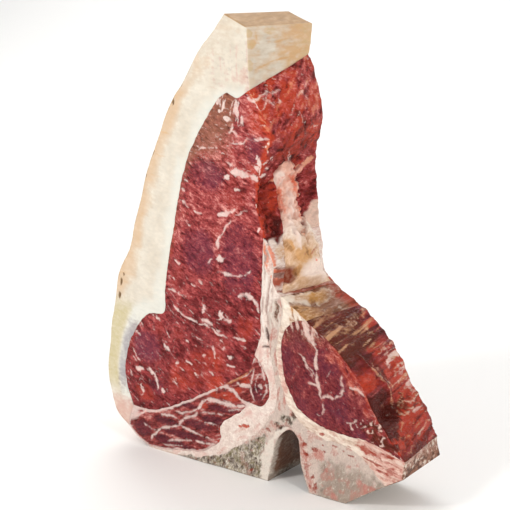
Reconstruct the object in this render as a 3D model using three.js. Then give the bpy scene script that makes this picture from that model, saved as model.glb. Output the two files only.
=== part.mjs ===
import * as THREE from 'three';
import { ConvexHull } from 'three/addons/math/ConvexHull.js';

// A raw T-bone steak, in millimetres. It stands on the sawn foot of its chine bone, with the cut
// face towards -Y, the bone at the bottom and the thick end of the back fat at the top (+Z).
// Every layer runs through the thickness, so each one is drawn once as an outline on the cut face,
// made of curves that it shares with its neighbours, and is carried through to the back face.

// Driving dimensions
const THICKNESS = 42;
const GAP = 0.3;            // clear space between two layers
const SEAM_STEP = 4.5;        // spacing of the points along a seam inside the steak
const SIDE_STEP = 3.6;      // spacing along the outer sides
const FACE_STEP = 6.5;      // spacing of the points on the two cut faces
const SAWN_STEP = 9;        // spacing along the flat sawn bone
const TOP_LEAN = 7;         // how far the cut runs off square near the top
const MIDDLE_LEAN = 8;      // the same above the finger bone
const END_LEAN = 5;         // how much shorter the tenderloin's end is on the back face
const FAT_RISE = 16;        // how much higher the back fat starts on the back face

// Corners where layers meet on the cut face: [x, z]
const AT = {
  fatCrest: [-13, 245.5],
  fatCorner: [1.5, 239],
  loinTop: [3.5, 208],
  seamTop: [12.5, 133],
  fingerTip: [23, 103.5],
  filletFatTop: [39.5, 93.5],
  filletHead: [30, 91],
  filletEnd: [98.5, 31],
  strandCorner: [97, 21],
  bodyCorner: [87.5, 15.5],
  bodyFoot: [64, 0],
  canalRight: [41.5, 0],
  canalLeft: [15, 0],
  chineFoot: [-47.5, 0],
  fatFoot: [-68.5, 0],
  rim: [-84, 10],
  loinHeel: [-80, 23],
  chineFork: [-1.5, 56.5],
  seamFork: [6.5, 69],
  chineHeel: [4, 42],
};

// Curves between those corners. An inner seam has a layer on both sides, a side is the steak's
// own surface, and a sawn one is cut flat.
const CURVES = {
  crest: side('fatCrest', [], 'fatCorner'),
  fatSide: side('fatCorner', [[2, 228]], 'loinTop'),
  loinSide: side('loinTop', [[11, 196.5], [16.5, 185], [10, 166], [8.5, 150]], 'seamTop'),
  seamSide: side('seamTop', [[19, 119], [18.5, 110]], 'fingerTip'),
  filletFatSide: side('fingerTip', [[31, 99]], 'filletFatTop'),
  filletSide: side('filletFatTop', [[57.5, 81.5], [71.5, 67], [79.5, 54]], 'filletEnd'),
  strandSide: side('filletEnd', [], 'strandCorner'),
  strandFoot: side('strandCorner', [], 'bodyCorner'),
  bodyEdge: sawn('bodyCorner', [], 'bodyFoot'),
  bodySole: sawn('bodyFoot', [], 'canalRight'),
  canal: sawn('canalRight', [[36, 15], [34, 29], [29.5, 32], [21, 24.5], [18, 13]], 'canalLeft'),
  chineSole: sawn('canalLeft', [], 'chineFoot'),
  fatSole: sawn('chineFoot', [], 'fatFoot'),
  muscleRim: side('fatFoot', [[-77, 4]], 'rim'),
  fatRim: side('rim', [[-94.5, 18.5], [-99, 43], [-94.5, 74], [-90.5, 95], [-79, 121], [-70.5, 149],
    [-58, 180], [-46.5, 202], [-28.5, 227]], 'fatCrest'),

  loinFat: seam('loinTop', [[-5, 203.5], [-12, 205.5], [-22, 196], [-39, 167], [-48.5, 130], [-55, 97],
    [-56, 82], [-68, 79], [-84, 55], [-85, 37]], 'loinHeel'),
  loinChine: seam('loinHeel', [[-68, 22.5], [-56.5, 26.5], [-34.5, 37]], 'chineFork'),
  loinFork: seam('chineFork', [[3.5, 61]], 'seamFork'),
  loinSeam: seam('seamFork', [[10, 80], [10.5, 100]], 'seamTop'),
  fatTail: seam('loinHeel', [[-82.5, 17]], 'rim'),
  smallChine: seam('seamFork', [[12, 63], [16, 51], [11.5, 41.5]], 'chineHeel'),
  chineSplit: seam('chineFork', [[2.5, 50]], 'chineHeel'),
  chineUnder: seam('chineHeel', [[-8, 31.5], [-16, 26], [-17, 16], [-27, 8], [-45, 3.5]], 'fatFoot'),
  boneSeam: seam('chineFoot', [[-21, 6], [0, 19], [16, 35], [21, 48], [17.5, 66], [15.5, 88], [17.5, 99]],
    'fingerTip'),
  boneFillet: seam('fingerTip', [[24.5, 95], [22, 84], [20.5, 70], [26, 50], [35, 38.5], [50, 32.5],
    [70, 29.5]], 'bodyCorner'),
  filletUnder: seam('filletHead', [[24.8, 84], [23.5, 73], [28.5, 54], [38, 43], [56, 37.5], [76, 37]],
    'filletEnd'),
  filletCap: seam('filletHead', [[35, 93]], 'filletFatTop'),
};

// Layers, each as its curves in anticlockwise order (a minus runs a curve backwards), how far its
// cut face bulges, and its colour
const LAYERS = {
  back_fat: { edge: '-loinFat -fatSide -crest -fatRim -fatTail', dome: 0.6, colour: 0xe6d8c2 },
  strip_loin: { edge: 'loinFat loinChine loinFork loinSeam -loinSide', dome: 1.0, colour: 0x8c343a },
  chine_muscle: { edge: 'fatTail -muscleRim -chineUnder -chineSplit -loinChine', dome: 0.7, colour: 0x913a3e },
  small_chine_muscle: { edge: 'chineSplit -smallChine -loinFork', dome: 0.5, colour: 0x74323a },
  seam_fat: { edge: 'chineUnder -fatSole boneSeam -seamSide -loinSeam smallChine', dome: 0.4, colour: 0xdcc3b4 },
  t_bone: { edge: '-chineSole -canal -bodySole -bodyEdge -boneFillet -boneSeam', dome: -0.6, colour: 0xa79a8b },
  fillet_fat: { edge: 'boneFillet -strandFoot -strandSide -filletUnder filletCap -filletFatSide', dome: 0.4,
    colour: 0xe2cdbb },
  tenderloin: { edge: 'filletUnder -filletSide -filletCap', dome: 0.9, colour: 0x6e2a35 },
};

// Lumps and hollows of the outer side: height z, depth from 0 at the front to 1 at the back, their
// reach in both, and how far they stand out
const SIDE_LUMPS = [
  { z: 200, depth: 0.6, tall: 14, deep: 0.3, out: 3 },      // flank end of the strip loin
  { z: 180, depth: 1, tall: 11, deep: 0.4, out: -4 },       // waist below it
  { z: 152, depth: 0.18, tall: 12, deep: 0.17, out: -4 },   // dark recess beside the cut edge
  { z: 150, depth: 0.8, tall: 16, deep: 0.3, out: -2.5 },   // bed of the flank sinew
  { z: 150, depth: 1.05, tall: 14, deep: 0.18, out: 5 },    // lip of meat behind it
  { z: 118, depth: 0.9, tall: 9, deep: 0.5, out: -5 },      // bed of its fat
  { z: 99.5, depth: 0.55, tall: 2.2, deep: 0.3, out: -5 },  // crack under the finger bone
  { z: 62, depth: 0.35, tall: 6, deep: 0.25, out: 2 },      // moist roll of the tenderloin
  { z: 51, depth: 0.35, tall: 4, deep: 0.22, out: -5 },     // crevice across it
];
const STRAND_PITCH = 9;     // spacing of the tenderloin's strands, which run through the thickness
const STRAND_RELIEF = 0.9;
const RIND_PITCH = 31;      // spacing of the shallow dents in the fat's rind
const RIND_RELIEF = 0.4;

// The flank sinew is a tongue of fat and tendon on the side above the finger bone. Where it lies
// at each height: [z, nearest depth, farthest depth, height above the meat]. The first row is
// above its end, and only spreads the points of the meat beside it.
const SINEW_TOP = 178;
const SINEW = [
  [196, 0.12, 0.88, 1.5],
  [176, 0.42, 0.62, 1.5],
  [166, 0.26, 0.72, 3],
  [152, 0.4, 0.72, 4],
  [138, 0.4, 0.8, 4.5],
  [126, 0.26, 0.9, 5],
  [115, 0.14, 0.96, 5.5],
  [104, 0.1, 0.96, 5],
];
const SINEW_EDGE = 1.2;     // its thickness at the rim
const SIDE_ROWS = 9;        // rows of faces through the thickness on an outer side

function curve(kind, from, through, to) {
  return { kind, from, through, to };
}

function side(from, through, to) {
  return curve('side', from, through, to);
}

function sawn(from, through, to) {
  return curve('sawn', from, through, to);
}

function seam(from, through, to) {
  return curve('seam', from, through, to);
}

const { smoothstep, lerp, clamp } = THREE.MathUtils;

// Where a point of the cut face comes out on the back face
function carriedThrough([x, z]) {
  const share = 0.75 + 0.0025 * x;
  const lean = MIDDLE_LEAN * smoothstep(z, 60, 104) + TOP_LEAN * smoothstep(z, 195, 240);
  const nearEnd = Math.exp(-(((z - AT.filletEnd[1]) / 9) ** 2)) * smoothstep(x, 60, 98);
  const nearLoinTop = Math.exp(-(((z - AT.loinTop[1]) / 18) ** 2)) * smoothstep(x, -40, 2);
  return [x + share * lean - END_LEAN * nearEnd, z + FAT_RISE * nearLoinTop];
}

// The sinew's row at height z, read off its table
function sinewAt(z) {
  const last = SINEW.length - 1;
  if (z >= SINEW[0][0]) return SINEW[0].slice(1);
  if (z <= SINEW[last][0]) return SINEW[last].slice(1);
  const row = SINEW.findIndex(([height]) => height < z);
  const [upper, lower] = [SINEW[row - 1], SINEW[row]];
  const share = (upper[0] - z) / (upper[0] - lower[0]);
  return [1, 2, 3].map((column) => lerp(upper[column], lower[column], share));
}

// Depths of the points on an outer side: the middle ones follow the sinew's two edges
function sideDepths(z) {
  const [near, far] = sinewAt(z);
  const inner = SIDE_ROWS - 2;
  const middle = Array.from({ length: inner + 1 }, (_, row) => lerp(near, far, row / inner));
  return [0, ...middle, 1];
}

// How far the side stands out at a place, measured square to the outline
function sideRelief(name, [x, z], depth) {
  if (name === 'fatRim' || name === 'muscleRim') {
    const dents = Math.sin((2 * Math.PI * z) / RIND_PITCH + 2.5 * depth);
    return RIND_RELIEF * dents * smoothstep(z, 4, 20) * (1 - smoothstep(z, 236, 245));
  }
  if (x < 0 || z > 235) return 0;
  let out = 0;
  for (const lump of SIDE_LUMPS) {
    out += lump.out * Math.exp(-(((z - lump.z) / lump.tall) ** 2) - ((depth - lump.depth) / lump.deep) ** 2);
  }
  if (name === 'filletSide') {
    const along = (x - z) / Math.SQRT2;
    const reach = smoothstep(z, 36, 44) * (1 - smoothstep(z, 84, 92));
    out += STRAND_RELIEF * Math.sin((2 * Math.PI * along) / STRAND_PITCH + depth) * reach;
  }
  return out * smoothstep(depth, -0.1, 0.12);
}

// Samples of one curve: its points on both cut faces and its outward direction
function sample(name) {
  const { kind, from, through, to } = CURVES[name];
  const points = [AT[from], ...through, AT[to]].map(([x, z]) => new THREE.Vector3(x, z, 0));
  const path = new THREE.CatmullRomCurve3(points, false, 'centripetal');
  const step = { side: SIDE_STEP, sawn: SAWN_STEP, seam: SEAM_STEP }[kind];
  const fine = ['filletSide', 'seamSide', 'filletFatSide'].includes(name) ? 0.72 : 1;
  const count = Math.max(points.length > 2 ? 3 : 1, Math.round(path.getLength() / (step * fine)));
  const samples = [];
  for (let i = 0; i <= count; i++) {
    const spot = path.getPointAt(i / count);
    const tangent = path.getTangentAt(i / count);
    const front = [spot.x, spot.y];
    samples.push({ name, kind, front, back: carriedThrough(front), out: [-tangent.y, tangent.x] });
  }
  return samples;
}

const sampled = Object.fromEntries(Object.keys(CURVES).map((name) => [name, sample(name)]));

const onSides = Object.values(sampled).flat().filter(({ kind }) => kind === 'side');

// Where two sides meet, both take the direction halfway between theirs
for (const corner of Object.values(AT)) {
  const ends = onSides.filter(({ front }) => near(front, corner));
  if (ends.length === 0) continue;
  const sum = new THREE.Vector2();
  for (const { out } of ends) sum.add(new THREE.Vector2(...out));
  sum.normalize();
  for (const end of ends) end.out = [sum.x, sum.y];
}

// A layer's outline as a ring of columns that run from the front face to the back face
function ringOf(edge) {
  const ring = [];
  for (const word of edge.split(' ')) {
    const backwards = word.startsWith('-');
    const name = backwards ? word.slice(1) : word;
    const samples = backwards ? [...sampled[name]].reverse() : sampled[name];
    samples.slice(0, -1).forEach((column) => ring.push({ ...column, backwards }));
  }
  ring.forEach((column, i) => {
    const before = ring[(i + ring.length - 1) % ring.length];
    column.gaps = [before.kind, column.kind].map((kind) => (kind === 'seam' ? GAP / 2 : 0));
    column.side = onSides.find(({ front }) => near(front, column.front));
  });
  return ring;
}

function near([ax, az], [bx, bz]) {
  return Math.hypot(ax - bx, az - bz) < 1e-6;
}

// Moves each corner of an outline in by the gaps of the two edges that meet there
function drawnIn(ring, face) {
  return ring.map((column, i) => {
    const here = column[face];
    const before = ring[(i + ring.length - 1) % ring.length][face];
    const after = ring[(i + 1) % ring.length][face];
    const [n1, n2] = [[before, here], [here, after]].map(([[ax, az], [bx, bz]]) => {
      const length = Math.hypot(bx - ax, bz - az);
      return [-(bz - az) / length, (bx - ax) / length];
    });
    const [g1, g2] = column.gaps;
    const turn = n1[0] * n2[1] - n1[1] * n2[0];
    if (Math.abs(turn) < 0.25) {
      const g = (g1 + g2) / 2;
      return [here[0] + (g * (n1[0] + n2[0])) / 2, here[1] + (g * (n1[1] + n2[1])) / 2];
    }
    return [here[0] + (g1 * n2[1] - g2 * n1[1]) / turn, here[1] + (g2 * n1[0] - g1 * n2[0]) / turn];
  });
}

function inside([x, z], outline) {
  let within = false;
  outline.forEach(([ax, az], i) => {
    const [bx, bz] = outline[(i + 1) % outline.length];
    if (az > z !== bz > z && x < ax + ((bx - ax) * (z - az)) / (bz - az)) within = !within;
  });
  return within;
}

function distanceTo([x, z], outline) {
  let least = Infinity;
  outline.forEach(([ax, az], i) => {
    const [bx, bz] = outline[(i + 1) % outline.length];
    const [dx, dz] = [bx - ax, bz - az];
    const share = clamp(((x - ax) * dx + (z - az) * dz) / (dx * dx + dz * dz), 0, 1);
    least = Math.min(least, Math.hypot(x - ax - share * dx, z - az - share * dz));
  });
  return least;
}

// Evenly staggered points inside an outline
function latticeIn(outline) {
  const box = new THREE.Box2().setFromPoints(outline.map(([x, z]) => new THREE.Vector2(x, z)));
  const rise = (FACE_STEP * Math.sqrt(3)) / 2;
  const points = [];
  for (let row = 1; box.min.y + row * rise < box.max.y; row++) {
    for (let x = box.min.x + (row % 2) * (FACE_STEP / 2); x < box.max.x; x += FACE_STEP) {
      const point = [x + 0.05 * Math.sin(row * 7 + x), box.min.y + row * rise];
      if (inside(point, outline) && distanceTo(point, outline) > 0.5 * FACE_STEP) points.push(point);
    }
  }
  return points;
}

// Delaunay triangles of a cut face: the lower hull of its points lifted onto a paraboloid
function triangulate(points, outline) {
  const centre = outline[0];
  const lifted = points.map(([x, z], index) => {
    const [dx, dz] = [x - centre[0], z - centre[1]];
    return Object.assign(new THREE.Vector3(dx, dz, dx * dx + dz * dz), { index });
  });
  const triangles = [];
  for (const face of new ConvexHull().setFromPoints(lifted).faces) {
    if (face.normal.z > -1e-9) continue;
    const corners = [face.edge, face.edge.next, face.edge.prev].map((edge) => edge.head().point.index);
    const [a, b, c] = corners.map((corner) => points[corner]);
    const doubled = (b[0] - a[0]) * (c[1] - a[1]) - (b[1] - a[1]) * (c[0] - a[0]);
    const middle = [(a[0] + b[0] + c[0]) / 3, (a[1] + b[1] + c[1]) / 3];
    if (Math.abs(doubled) < 1e-7 || !inside(middle, outline)) continue;
    triangles.push(doubled > 0 ? corners : [corners[0], corners[2], corners[1]]);
  }
  return triangles;
}

// One layer as a closed solid
function layerGeometry({ edge, dome }) {
  const ring = ringOf(edge);
  const fronts = drawnIn(ring, 'front');
  const backs = drawnIn(ring, 'back');
  const positions = [];
  const index = [];
  const columns = ring.map((column, i) => {
    const { side: outer } = column;
    const depths = outer ? sideDepths(column.front[1]) : [0, 1];
    const vertices = depths.map((depth) => {
      const relief = outer ? sideRelief(outer.name, column.front, depth) : 0;
      const [outX, outZ] = outer ? outer.out : [0, 0];
      const x = lerp(fronts[i][0], backs[i][0], depth) + relief * outX;
      const z = lerp(fronts[i][1], backs[i][1], depth) + relief * outZ;
      positions.push(x, THICKNESS * (depth - 0.5), z);
      return positions.length / 3 - 1;
    });
    return { depths, vertices, backwards: column.backwards };
  });
  columns.forEach((column, i) => zip(column, columns[(i + 1) % columns.length], index));

  for (const [which, sign] of [[0, -1], [-1, 1]]) {
    const rim = columns.map(({ vertices }) => vertices.at(which));
    const outline = rim.map((vertex) => [positions[3 * vertex], positions[3 * vertex + 2]]);
    const lattice = latticeIn(outline);
    const numbers = [...rim];
    for (const [x, z] of lattice) {
      const swell = dome * smoothstep(distanceTo([x, z], outline), 0, 10);
      const ripple = 0.35 * Math.sin(x / 7 + z / 11) * Math.sin(z / 8 - x / 13);
      positions.push(x, sign * (THICKNESS / 2 + swell + ripple), z);
      numbers.push(positions.length / 3 - 1);
    }
    for (const [a, b, c] of triangulate([...outline, ...lattice], outline)) {
      index.push(...(sign < 0 ? [a, b, c] : [a, c, b]).map((corner) => numbers[corner]));
    }
  }
  return solid(positions, index);
}

// Joins two neighbouring columns with triangles. A shared seam is split the same way from both of
// its layers, so their walls stay parallel.
function zip(a, b, index) {
  let [i, j] = [0, 0];
  const [lastA, lastB] = [a.depths.length - 1, b.depths.length - 1];
  while (i < lastA || j < lastB) {
    const lead = j === lastB ? -1 : i === lastA ? 1 : a.depths[i + 1] - b.depths[j + 1];
    if (lead < -1e-9 || (Math.abs(lead) < 1e-9 && !a.backwards)) {
      index.push(a.vertices[i], a.vertices[i + 1], b.vertices[j]);
      i++;
    } else {
      index.push(a.vertices[i], b.vertices[j + 1], b.vertices[j]);
      j++;
    }
  }
}

// The flank sinew lies on the side, a gap's width off the meat, on the same grid of points
function sinewGeometry() {
  const bottom = SINEW.at(-1)[0] + 1;
  const columns = [...sampled.loinSide, ...sampled.seamSide.slice(1)]
    .filter(({ front }) => front[1] <= SINEW_TOP && front[1] >= bottom);
  const rows = SIDE_ROWS - 1;
  const positions = [];
  const index = [];
  for (const layer of [0, 1]) {
    columns.forEach((column, i) => {
      const [, , height] = sinewAt(column.front[1]);
      const depths = sideDepths(column.front[1]).slice(1, -1);
      const endFade = Math.min(1, i / 2);
      depths.forEach((depth, row) => {
        const crown = Math.sin((Math.PI * (row + 0.35)) / (rows - 0.3)) * endFade;
        const thick = layer === 0 ? 0 : SINEW_EDGE + (height - SINEW_EDGE) * crown;
        const out = sideRelief(column.name, column.front, depth) + GAP + thick;
        const x = lerp(column.front[0], column.back[0], depth) + out * column.out[0];
        const z = lerp(column.front[1], column.back[1], depth) + out * column.out[1];
        positions.push(x, THICKNESS * (depth - 0.5), z);
      });
    });
  }
  const at = (layer, column, row) => (layer * columns.length + column) * rows + row;
  const last = columns.length - 1;
  const quad = (a, b, c, d) => index.push(a, b, c, a, c, d);
  for (let c = 0; c < last; c++) {
    for (let r = 0; r < rows - 1; r++) {
      quad(at(1, c, r), at(1, c + 1, r), at(1, c + 1, r + 1), at(1, c, r + 1));
      quad(at(0, c, r + 1), at(0, c + 1, r + 1), at(0, c + 1, r), at(0, c, r));
    }
    quad(at(0, c, 0), at(0, c + 1, 0), at(1, c + 1, 0), at(1, c, 0));
    quad(at(1, c, rows - 1), at(1, c + 1, rows - 1), at(0, c + 1, rows - 1), at(0, c, rows - 1));
  }
  for (let r = 0; r < rows - 1; r++) {
    quad(at(0, 0, r + 1), at(0, 0, r), at(1, 0, r), at(1, 0, r + 1));
    quad(at(0, last, r), at(0, last, r + 1), at(1, last, r + 1), at(1, last, r));
  }
  return solid(positions, index);
}

function solid(positions, index) {
  const geometry = new THREE.BufferGeometry();
  geometry.setAttribute('position', new THREE.Float32BufferAttribute(positions, 3));
  geometry.setIndex(index);
  geometry.computeVertexNormals();
  return geometry;
}

function add(group, name, geometry, color, roughness) {
  const mesh = new THREE.Mesh(geometry, new THREE.MeshStandardMaterial({ color, roughness, metalness: 0 }));
  mesh.name = name;
  group.add(mesh);
}

const steak = new THREE.Group();
for (const [name, layer] of Object.entries(LAYERS)) {
  add(steak, name, layerGeometry(layer), layer.colour, name.endsWith('fat') ? 0.5 : 0.35);
}
add(steak, 'flank_sinew', sinewGeometry(), 0xd9ab92, 0.4);

// The origin is under the middle of the whole steak, on the plane that it stands on
const bounds = new THREE.Box3().setFromObject(steak);
const middle = bounds.getCenter(new THREE.Vector3());
steak.traverse((part) => part.geometry?.translate(-middle.x, -middle.y, -bounds.min.z));

export default steak;
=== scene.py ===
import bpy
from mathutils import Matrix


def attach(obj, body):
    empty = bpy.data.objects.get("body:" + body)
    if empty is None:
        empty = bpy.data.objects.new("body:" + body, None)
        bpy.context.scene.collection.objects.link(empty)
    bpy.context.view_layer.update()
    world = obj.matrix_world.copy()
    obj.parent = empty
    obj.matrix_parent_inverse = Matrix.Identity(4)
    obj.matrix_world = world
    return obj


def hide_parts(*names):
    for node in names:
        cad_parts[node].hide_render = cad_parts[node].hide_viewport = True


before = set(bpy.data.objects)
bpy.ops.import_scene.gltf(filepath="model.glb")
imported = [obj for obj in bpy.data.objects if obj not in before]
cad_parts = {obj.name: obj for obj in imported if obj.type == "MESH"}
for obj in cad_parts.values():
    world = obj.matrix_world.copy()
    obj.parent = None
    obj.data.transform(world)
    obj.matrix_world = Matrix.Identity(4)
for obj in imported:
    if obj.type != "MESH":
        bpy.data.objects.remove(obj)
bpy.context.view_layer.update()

import math

import bpy
import numpy as np
from mathutils import Matrix, Vector, kdtree
from mathutils.geometry import delaunay_2d_cdt

# T-bone
# The split vertebra of a steer: a sawn chine foot, the notch of the spinal canal, the vertebral
# body and the finger of bone between the two muscles. It is spongy bone, soaked in marrow, under
# a thin hard edge, and the saw that cut it left its faces flat. Sizes are in millimetres.
MM = 0.001
THICK = 42                  # from the cut face to the face behind
FACE_STEP = 0.5             # spacing of the mesh points on the cut face
BACK_STEP = 0.85            # and on the face behind
SIDE_ROWS = 56              # rows of points through the thickness
CUT_ROUND = 0.6             # rounding of an edge left by the knife or saw
ARC_STEPS = 3               # and in how many steps it turns
SEAM_REACH = 14             # how far in a seam still follows the lumps of the side
CORNER_BLEND = 4            # how far from a corner the way out turns to its own
RAGGED_FADE = 12            # how far from its ends a seam is fully ragged
CURVE_STEPS = 80            # points on a leg of a curve, before they are spaced evenly
CARRY_ROUNDS = 12           # steps that find where a point of the back face comes from
POINT_JITTER = 0.12         # random shift of a mesh point, as a share of the spacing
EDGE_CLEAR = 0.55           # how near the outline it may lie, as a share of the spacing
MERGE_BELOW = 1e-7          # points nearer than this are one
BACK_GRAIN = 9.0            # how far away in the random grain the back face lies

# corners of the cut face: X, Z, and on the outline the way out, in degrees from +X towards +Z
corner = {
    "chine_foot": (-47.5, 0, -90),
    "canal_left": (15, 0, -51),
    "canal_right": (41.5, 0, -126),
    "body_foot": (64, 0, -72),
    "body_corner": (87.5, 15.5, -58),
    "finger_tip": (23, 103.5, 48),
}
# lumps and hollows of the steak's right side: height, depth as a share of the thickness, their
# reach in both, and how far they stand out
SIDE_LUMPS = (
    (200, 0.6, 14, 0.3, 3),
    (180, 1, 11, 0.4, -4),
    (152, 0.18, 12, 0.17, -4),
    (150, 0.8, 16, 0.3, -2.5),
    (150, 1.05, 14, 0.18, 5),
    (118, 0.9, 9, 0.5, -5),
    (99.5, 0.55, 2.2, 0.3, -5),
    (62, 0.35, 6, 0.25, 2),
    (51, 0.35, 4, 0.22, -5),
)
STRAND_PITCH = 9            # strands of the tenderloin's long side, and how far they stand out
STRAND_RELIEF = 0.25
# cords and clefts of the same side: width, how far they stand out, and their route by depth from
# the cut face and height
SIDE_CORDS = (
    (4.6, 1.8, ((19, 161), (25, 165.5), (35, 171))),
    (2.4, 0.8, ((-2, 203.5), (7, 203), (15, 201))),
    (2.8, 0.9, ((-2, 86), (12, 87), (26, 89), (46, 91.5))),
    (2.2, 0.6, ((2, 92), (12, 94.5), (22, 95.5))),
    (3.2, 1.4, ((11, 77), (14, 67), (19, 57), (22, 47))),
    (2.8, 0.9, ((24, 73.5), (34, 76), (46, 77))),
    (3.2, 0.8, ((27, 63.5), (36, 66), (46, 67.5))),
    (2.4, 0.7, ((22, 53), (32, 50), (46, 53))),
    (2.2, 0.6, ((19, 43), (30, 42), (46, 46))),
    (4.4, 1.2, ((1, 65), (7, 64), (12, 68))),
)
SIDE_CLEFTS = (
    (2.4, -2.2, ((25, 126), (26.5, 134), (30, 144))),
    (2.2, -1.6, ((-2, 105.6), (8, 105), (20, 104), (34, 105.5))),
    (1.6, -0.8, ((-2, 100.4), (16, 99.8), (44, 101))),
    (1.6, -1.0, ((9, 208), (10.5, 200), (9.5, 193))),
    (2.0, -1.4, ((3, 160), (8, 151), (7, 142), (11, 133))),
    (1.8, -1.2, ((11, 160), (13, 150), (11, 143))),
)
RIND_PITCH = 31             # slow waves along the rind, and how far they stand out
RIND_RELIEF = 0.4

# the lines between the layers of the steak, by name
line = {}


def smooth(value, low, high):
    """From 0 at low to 1 at high, with soft ends"""
    share = np.clip((value - low) / (high - low), 0, 1)
    return share * share * (3 - 2 * share)


def joined(*columns):
    """Columns of numbers as rows: points from their coordinates, faces from their corners"""
    return np.stack(columns, axis=1)


def spline(points, step):
    """Even points on a smooth curve through the places given, and how far along it each lies"""
    points = np.array(points, float)
    points = np.vstack([2 * points[0] - points[1], points, 2 * points[-1] - points[-2]])
    dense = []
    for p0, p1, p2, p3 in zip(points, points[1:], points[2:], points[3:]):
        d0, d1, d2 = (math.sqrt(np.linalg.norm(b - a)) for a, b in ((p0, p1), (p1, p2), (p2, p3)))
        m1 = ((p1 - p0) / d0 - (p2 - p0) / (d0 + d1)) * d1 + p2 - p1
        m2 = ((p3 - p2) / d2 - (p3 - p1) / (d1 + d2)) * d1 + p2 - p1
        t = np.linspace(0, 1, CURVE_STEPS, endpoint=False)[:, None]
        square, cube = 3 * (p2 - p1) - 2 * m1 - m2, 2 * (p1 - p2) + m1 + m2
        dense.append(p1 + m1 * t + square * t**2 + cube * t**3)
    dense = np.vstack([*dense, points[-2]])
    run = np.concatenate([[0], np.cumsum(np.linalg.norm(np.diff(dense, axis=0), axis=1))])
    even = np.linspace(0, run[-1], max(1, round(run[-1] / step)) + 1)
    return joined(*(np.interp(even, run, column) for column in dense.T)), even


# random numbers on a cubic lattice, between which all the lumps are smoothed
LATTICE = np.random.default_rng(5).random((48, 48, 48))


def lumps(spots, size, seed=0):
    """Smooth random lumps from -1 to 1: size is in millimetres, one number or one per axis"""
    cell = spots / np.asarray(size, float) + np.array([3.7, 9.2, 5.1]) * (seed + 1)
    base = np.floor(cell).astype(int)
    part = cell - base
    part = part * part * (3 - 2 * part)
    total = np.zeros(len(spots))
    for step in np.ndindex(2, 2, 2):
        weight = np.prod(np.where(step, part, 1 - part), axis=1)
        i, j, k = ((base + step) % len(LATTICE)).T
        total += weight * LATTICE[i, j, k]
    return 2 * total - 1


def rough(spots, size, seed=0, octaves=3):
    """Lumps with finer lumps on them"""
    size = np.asarray(size, float)
    total = sum(lumps(spots, size / 2**i, seed + 11 * i) / 2**i for i in range(octaves))
    return 1.5 * total / (2 - 0.5 ** (octaves - 1))


def draw(name, start, through, end, outer=False, ragged=0):
    """A line of the cut face, as columns that run through to the back: place, way out, how much
    it follows the lumps of the side, and the place on the side that it follows. Where two tissues
    have grown together it is ragged by that many millimetres."""
    place, run = spline([corner[start][:2], *through, corner[end][:2]], FACE_STEP)
    if ragged:
        spots = joined(*place.T, 0 * run)
        tangent = np.gradient(place, axis=0)
        normal = joined(-tangent[:, 1], tangent[:, 0]) / np.linalg.norm(tangent, axis=1)[:, None]
        shift = ragged * smooth(run, 0, RAGGED_FADE) * smooth(run[-1] - run, 0, RAGGED_FADE)
        shift *= rough(spots, 5, 7, 2) + 0.4 * rough(spots, 1.8, 8, 1)
        place = place + shift[:, None] * normal
    out = np.zeros_like(place)
    follow = np.zeros(len(place))
    owner = place.copy()
    if outer:
        tangent = np.gradient(place, axis=0)
        out = joined(-tangent[:, 1], tangent[:, 0])
        out /= np.linalg.norm(out, axis=1)[:, None]
        follow[:] = 1
    for end_name, distance in ((start, run), (end, run[-1] - run)):
        if len(corner[end_name]) == 2:
            continue
        angle = math.radians(corner[end_name][2])
        way = np.array([math.cos(angle), math.sin(angle)])
        if outer:
            share = 1 - smooth(distance, 0, min(CORNER_BLEND, run[-1] / 2))
            out += share[:, None] * (way - out)
        else:
            reach = min(SEAM_REACH, 0.95 * run[-1])
            near = distance < reach
            out[near] = way
            follow[near] = 1 - distance[near] / reach
            owner[near] = corner[end_name][:2]
    line[name] = (place, out, follow, owner)


draw("body_edge", "body_corner", [], "body_foot", outer=True)
draw("body_sole", "body_foot", [], "canal_right", outer=True)
draw("canal", "canal_right", [(36, 15), (34, 29), (29.5, 32), (21, 24.5), (18, 13)], "canal_left",
     outer=True)
draw("chine_sole", "canal_left", [], "chine_foot", outer=True)
draw("bone_seam", "chine_foot",
     [(-21, 6), (0, 19), (16, 35), (21, 48), (17.5, 66), (15.5, 88), (17.5, 99)], "finger_tip", ragged=0.7)
draw("bone_fillet", "finger_tip",
     [(24.5, 95), (22, 84), (20.5, 70), (26, 50), (35, 38.5), (50, 32.5), (70, 29.5)], "body_corner",
     ragged=0.6)


def carried_through(x, z):
    """Where a point of the cut face comes out on the back face. The layers lean to the right on
    their way through, most at the top; the far end draws in and the top of the loin rises."""
    lean = 8 * smooth(z, 60, 104) + 7 * smooth(z, 195, 240)
    near_end = np.exp(-(((z - 31) / 9) ** 2)) * smooth(x, 60, 98)
    near_top = np.exp(-(((z - 208) / 18) ** 2)) * smooth(x, -40, 2)
    return x + (0.75 + 0.0025 * x) * lean - 5 * near_end, z + 16 * near_top


def carried_back(x, z):
    """Where a point of the back face comes from on the cut face"""
    u, v = x, z
    for _ in range(CARRY_ROUNDS):
        there_x, there_z = carried_through(u, v)
        u, v = u + x - there_x, v + z - there_z
    return u, v


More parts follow.
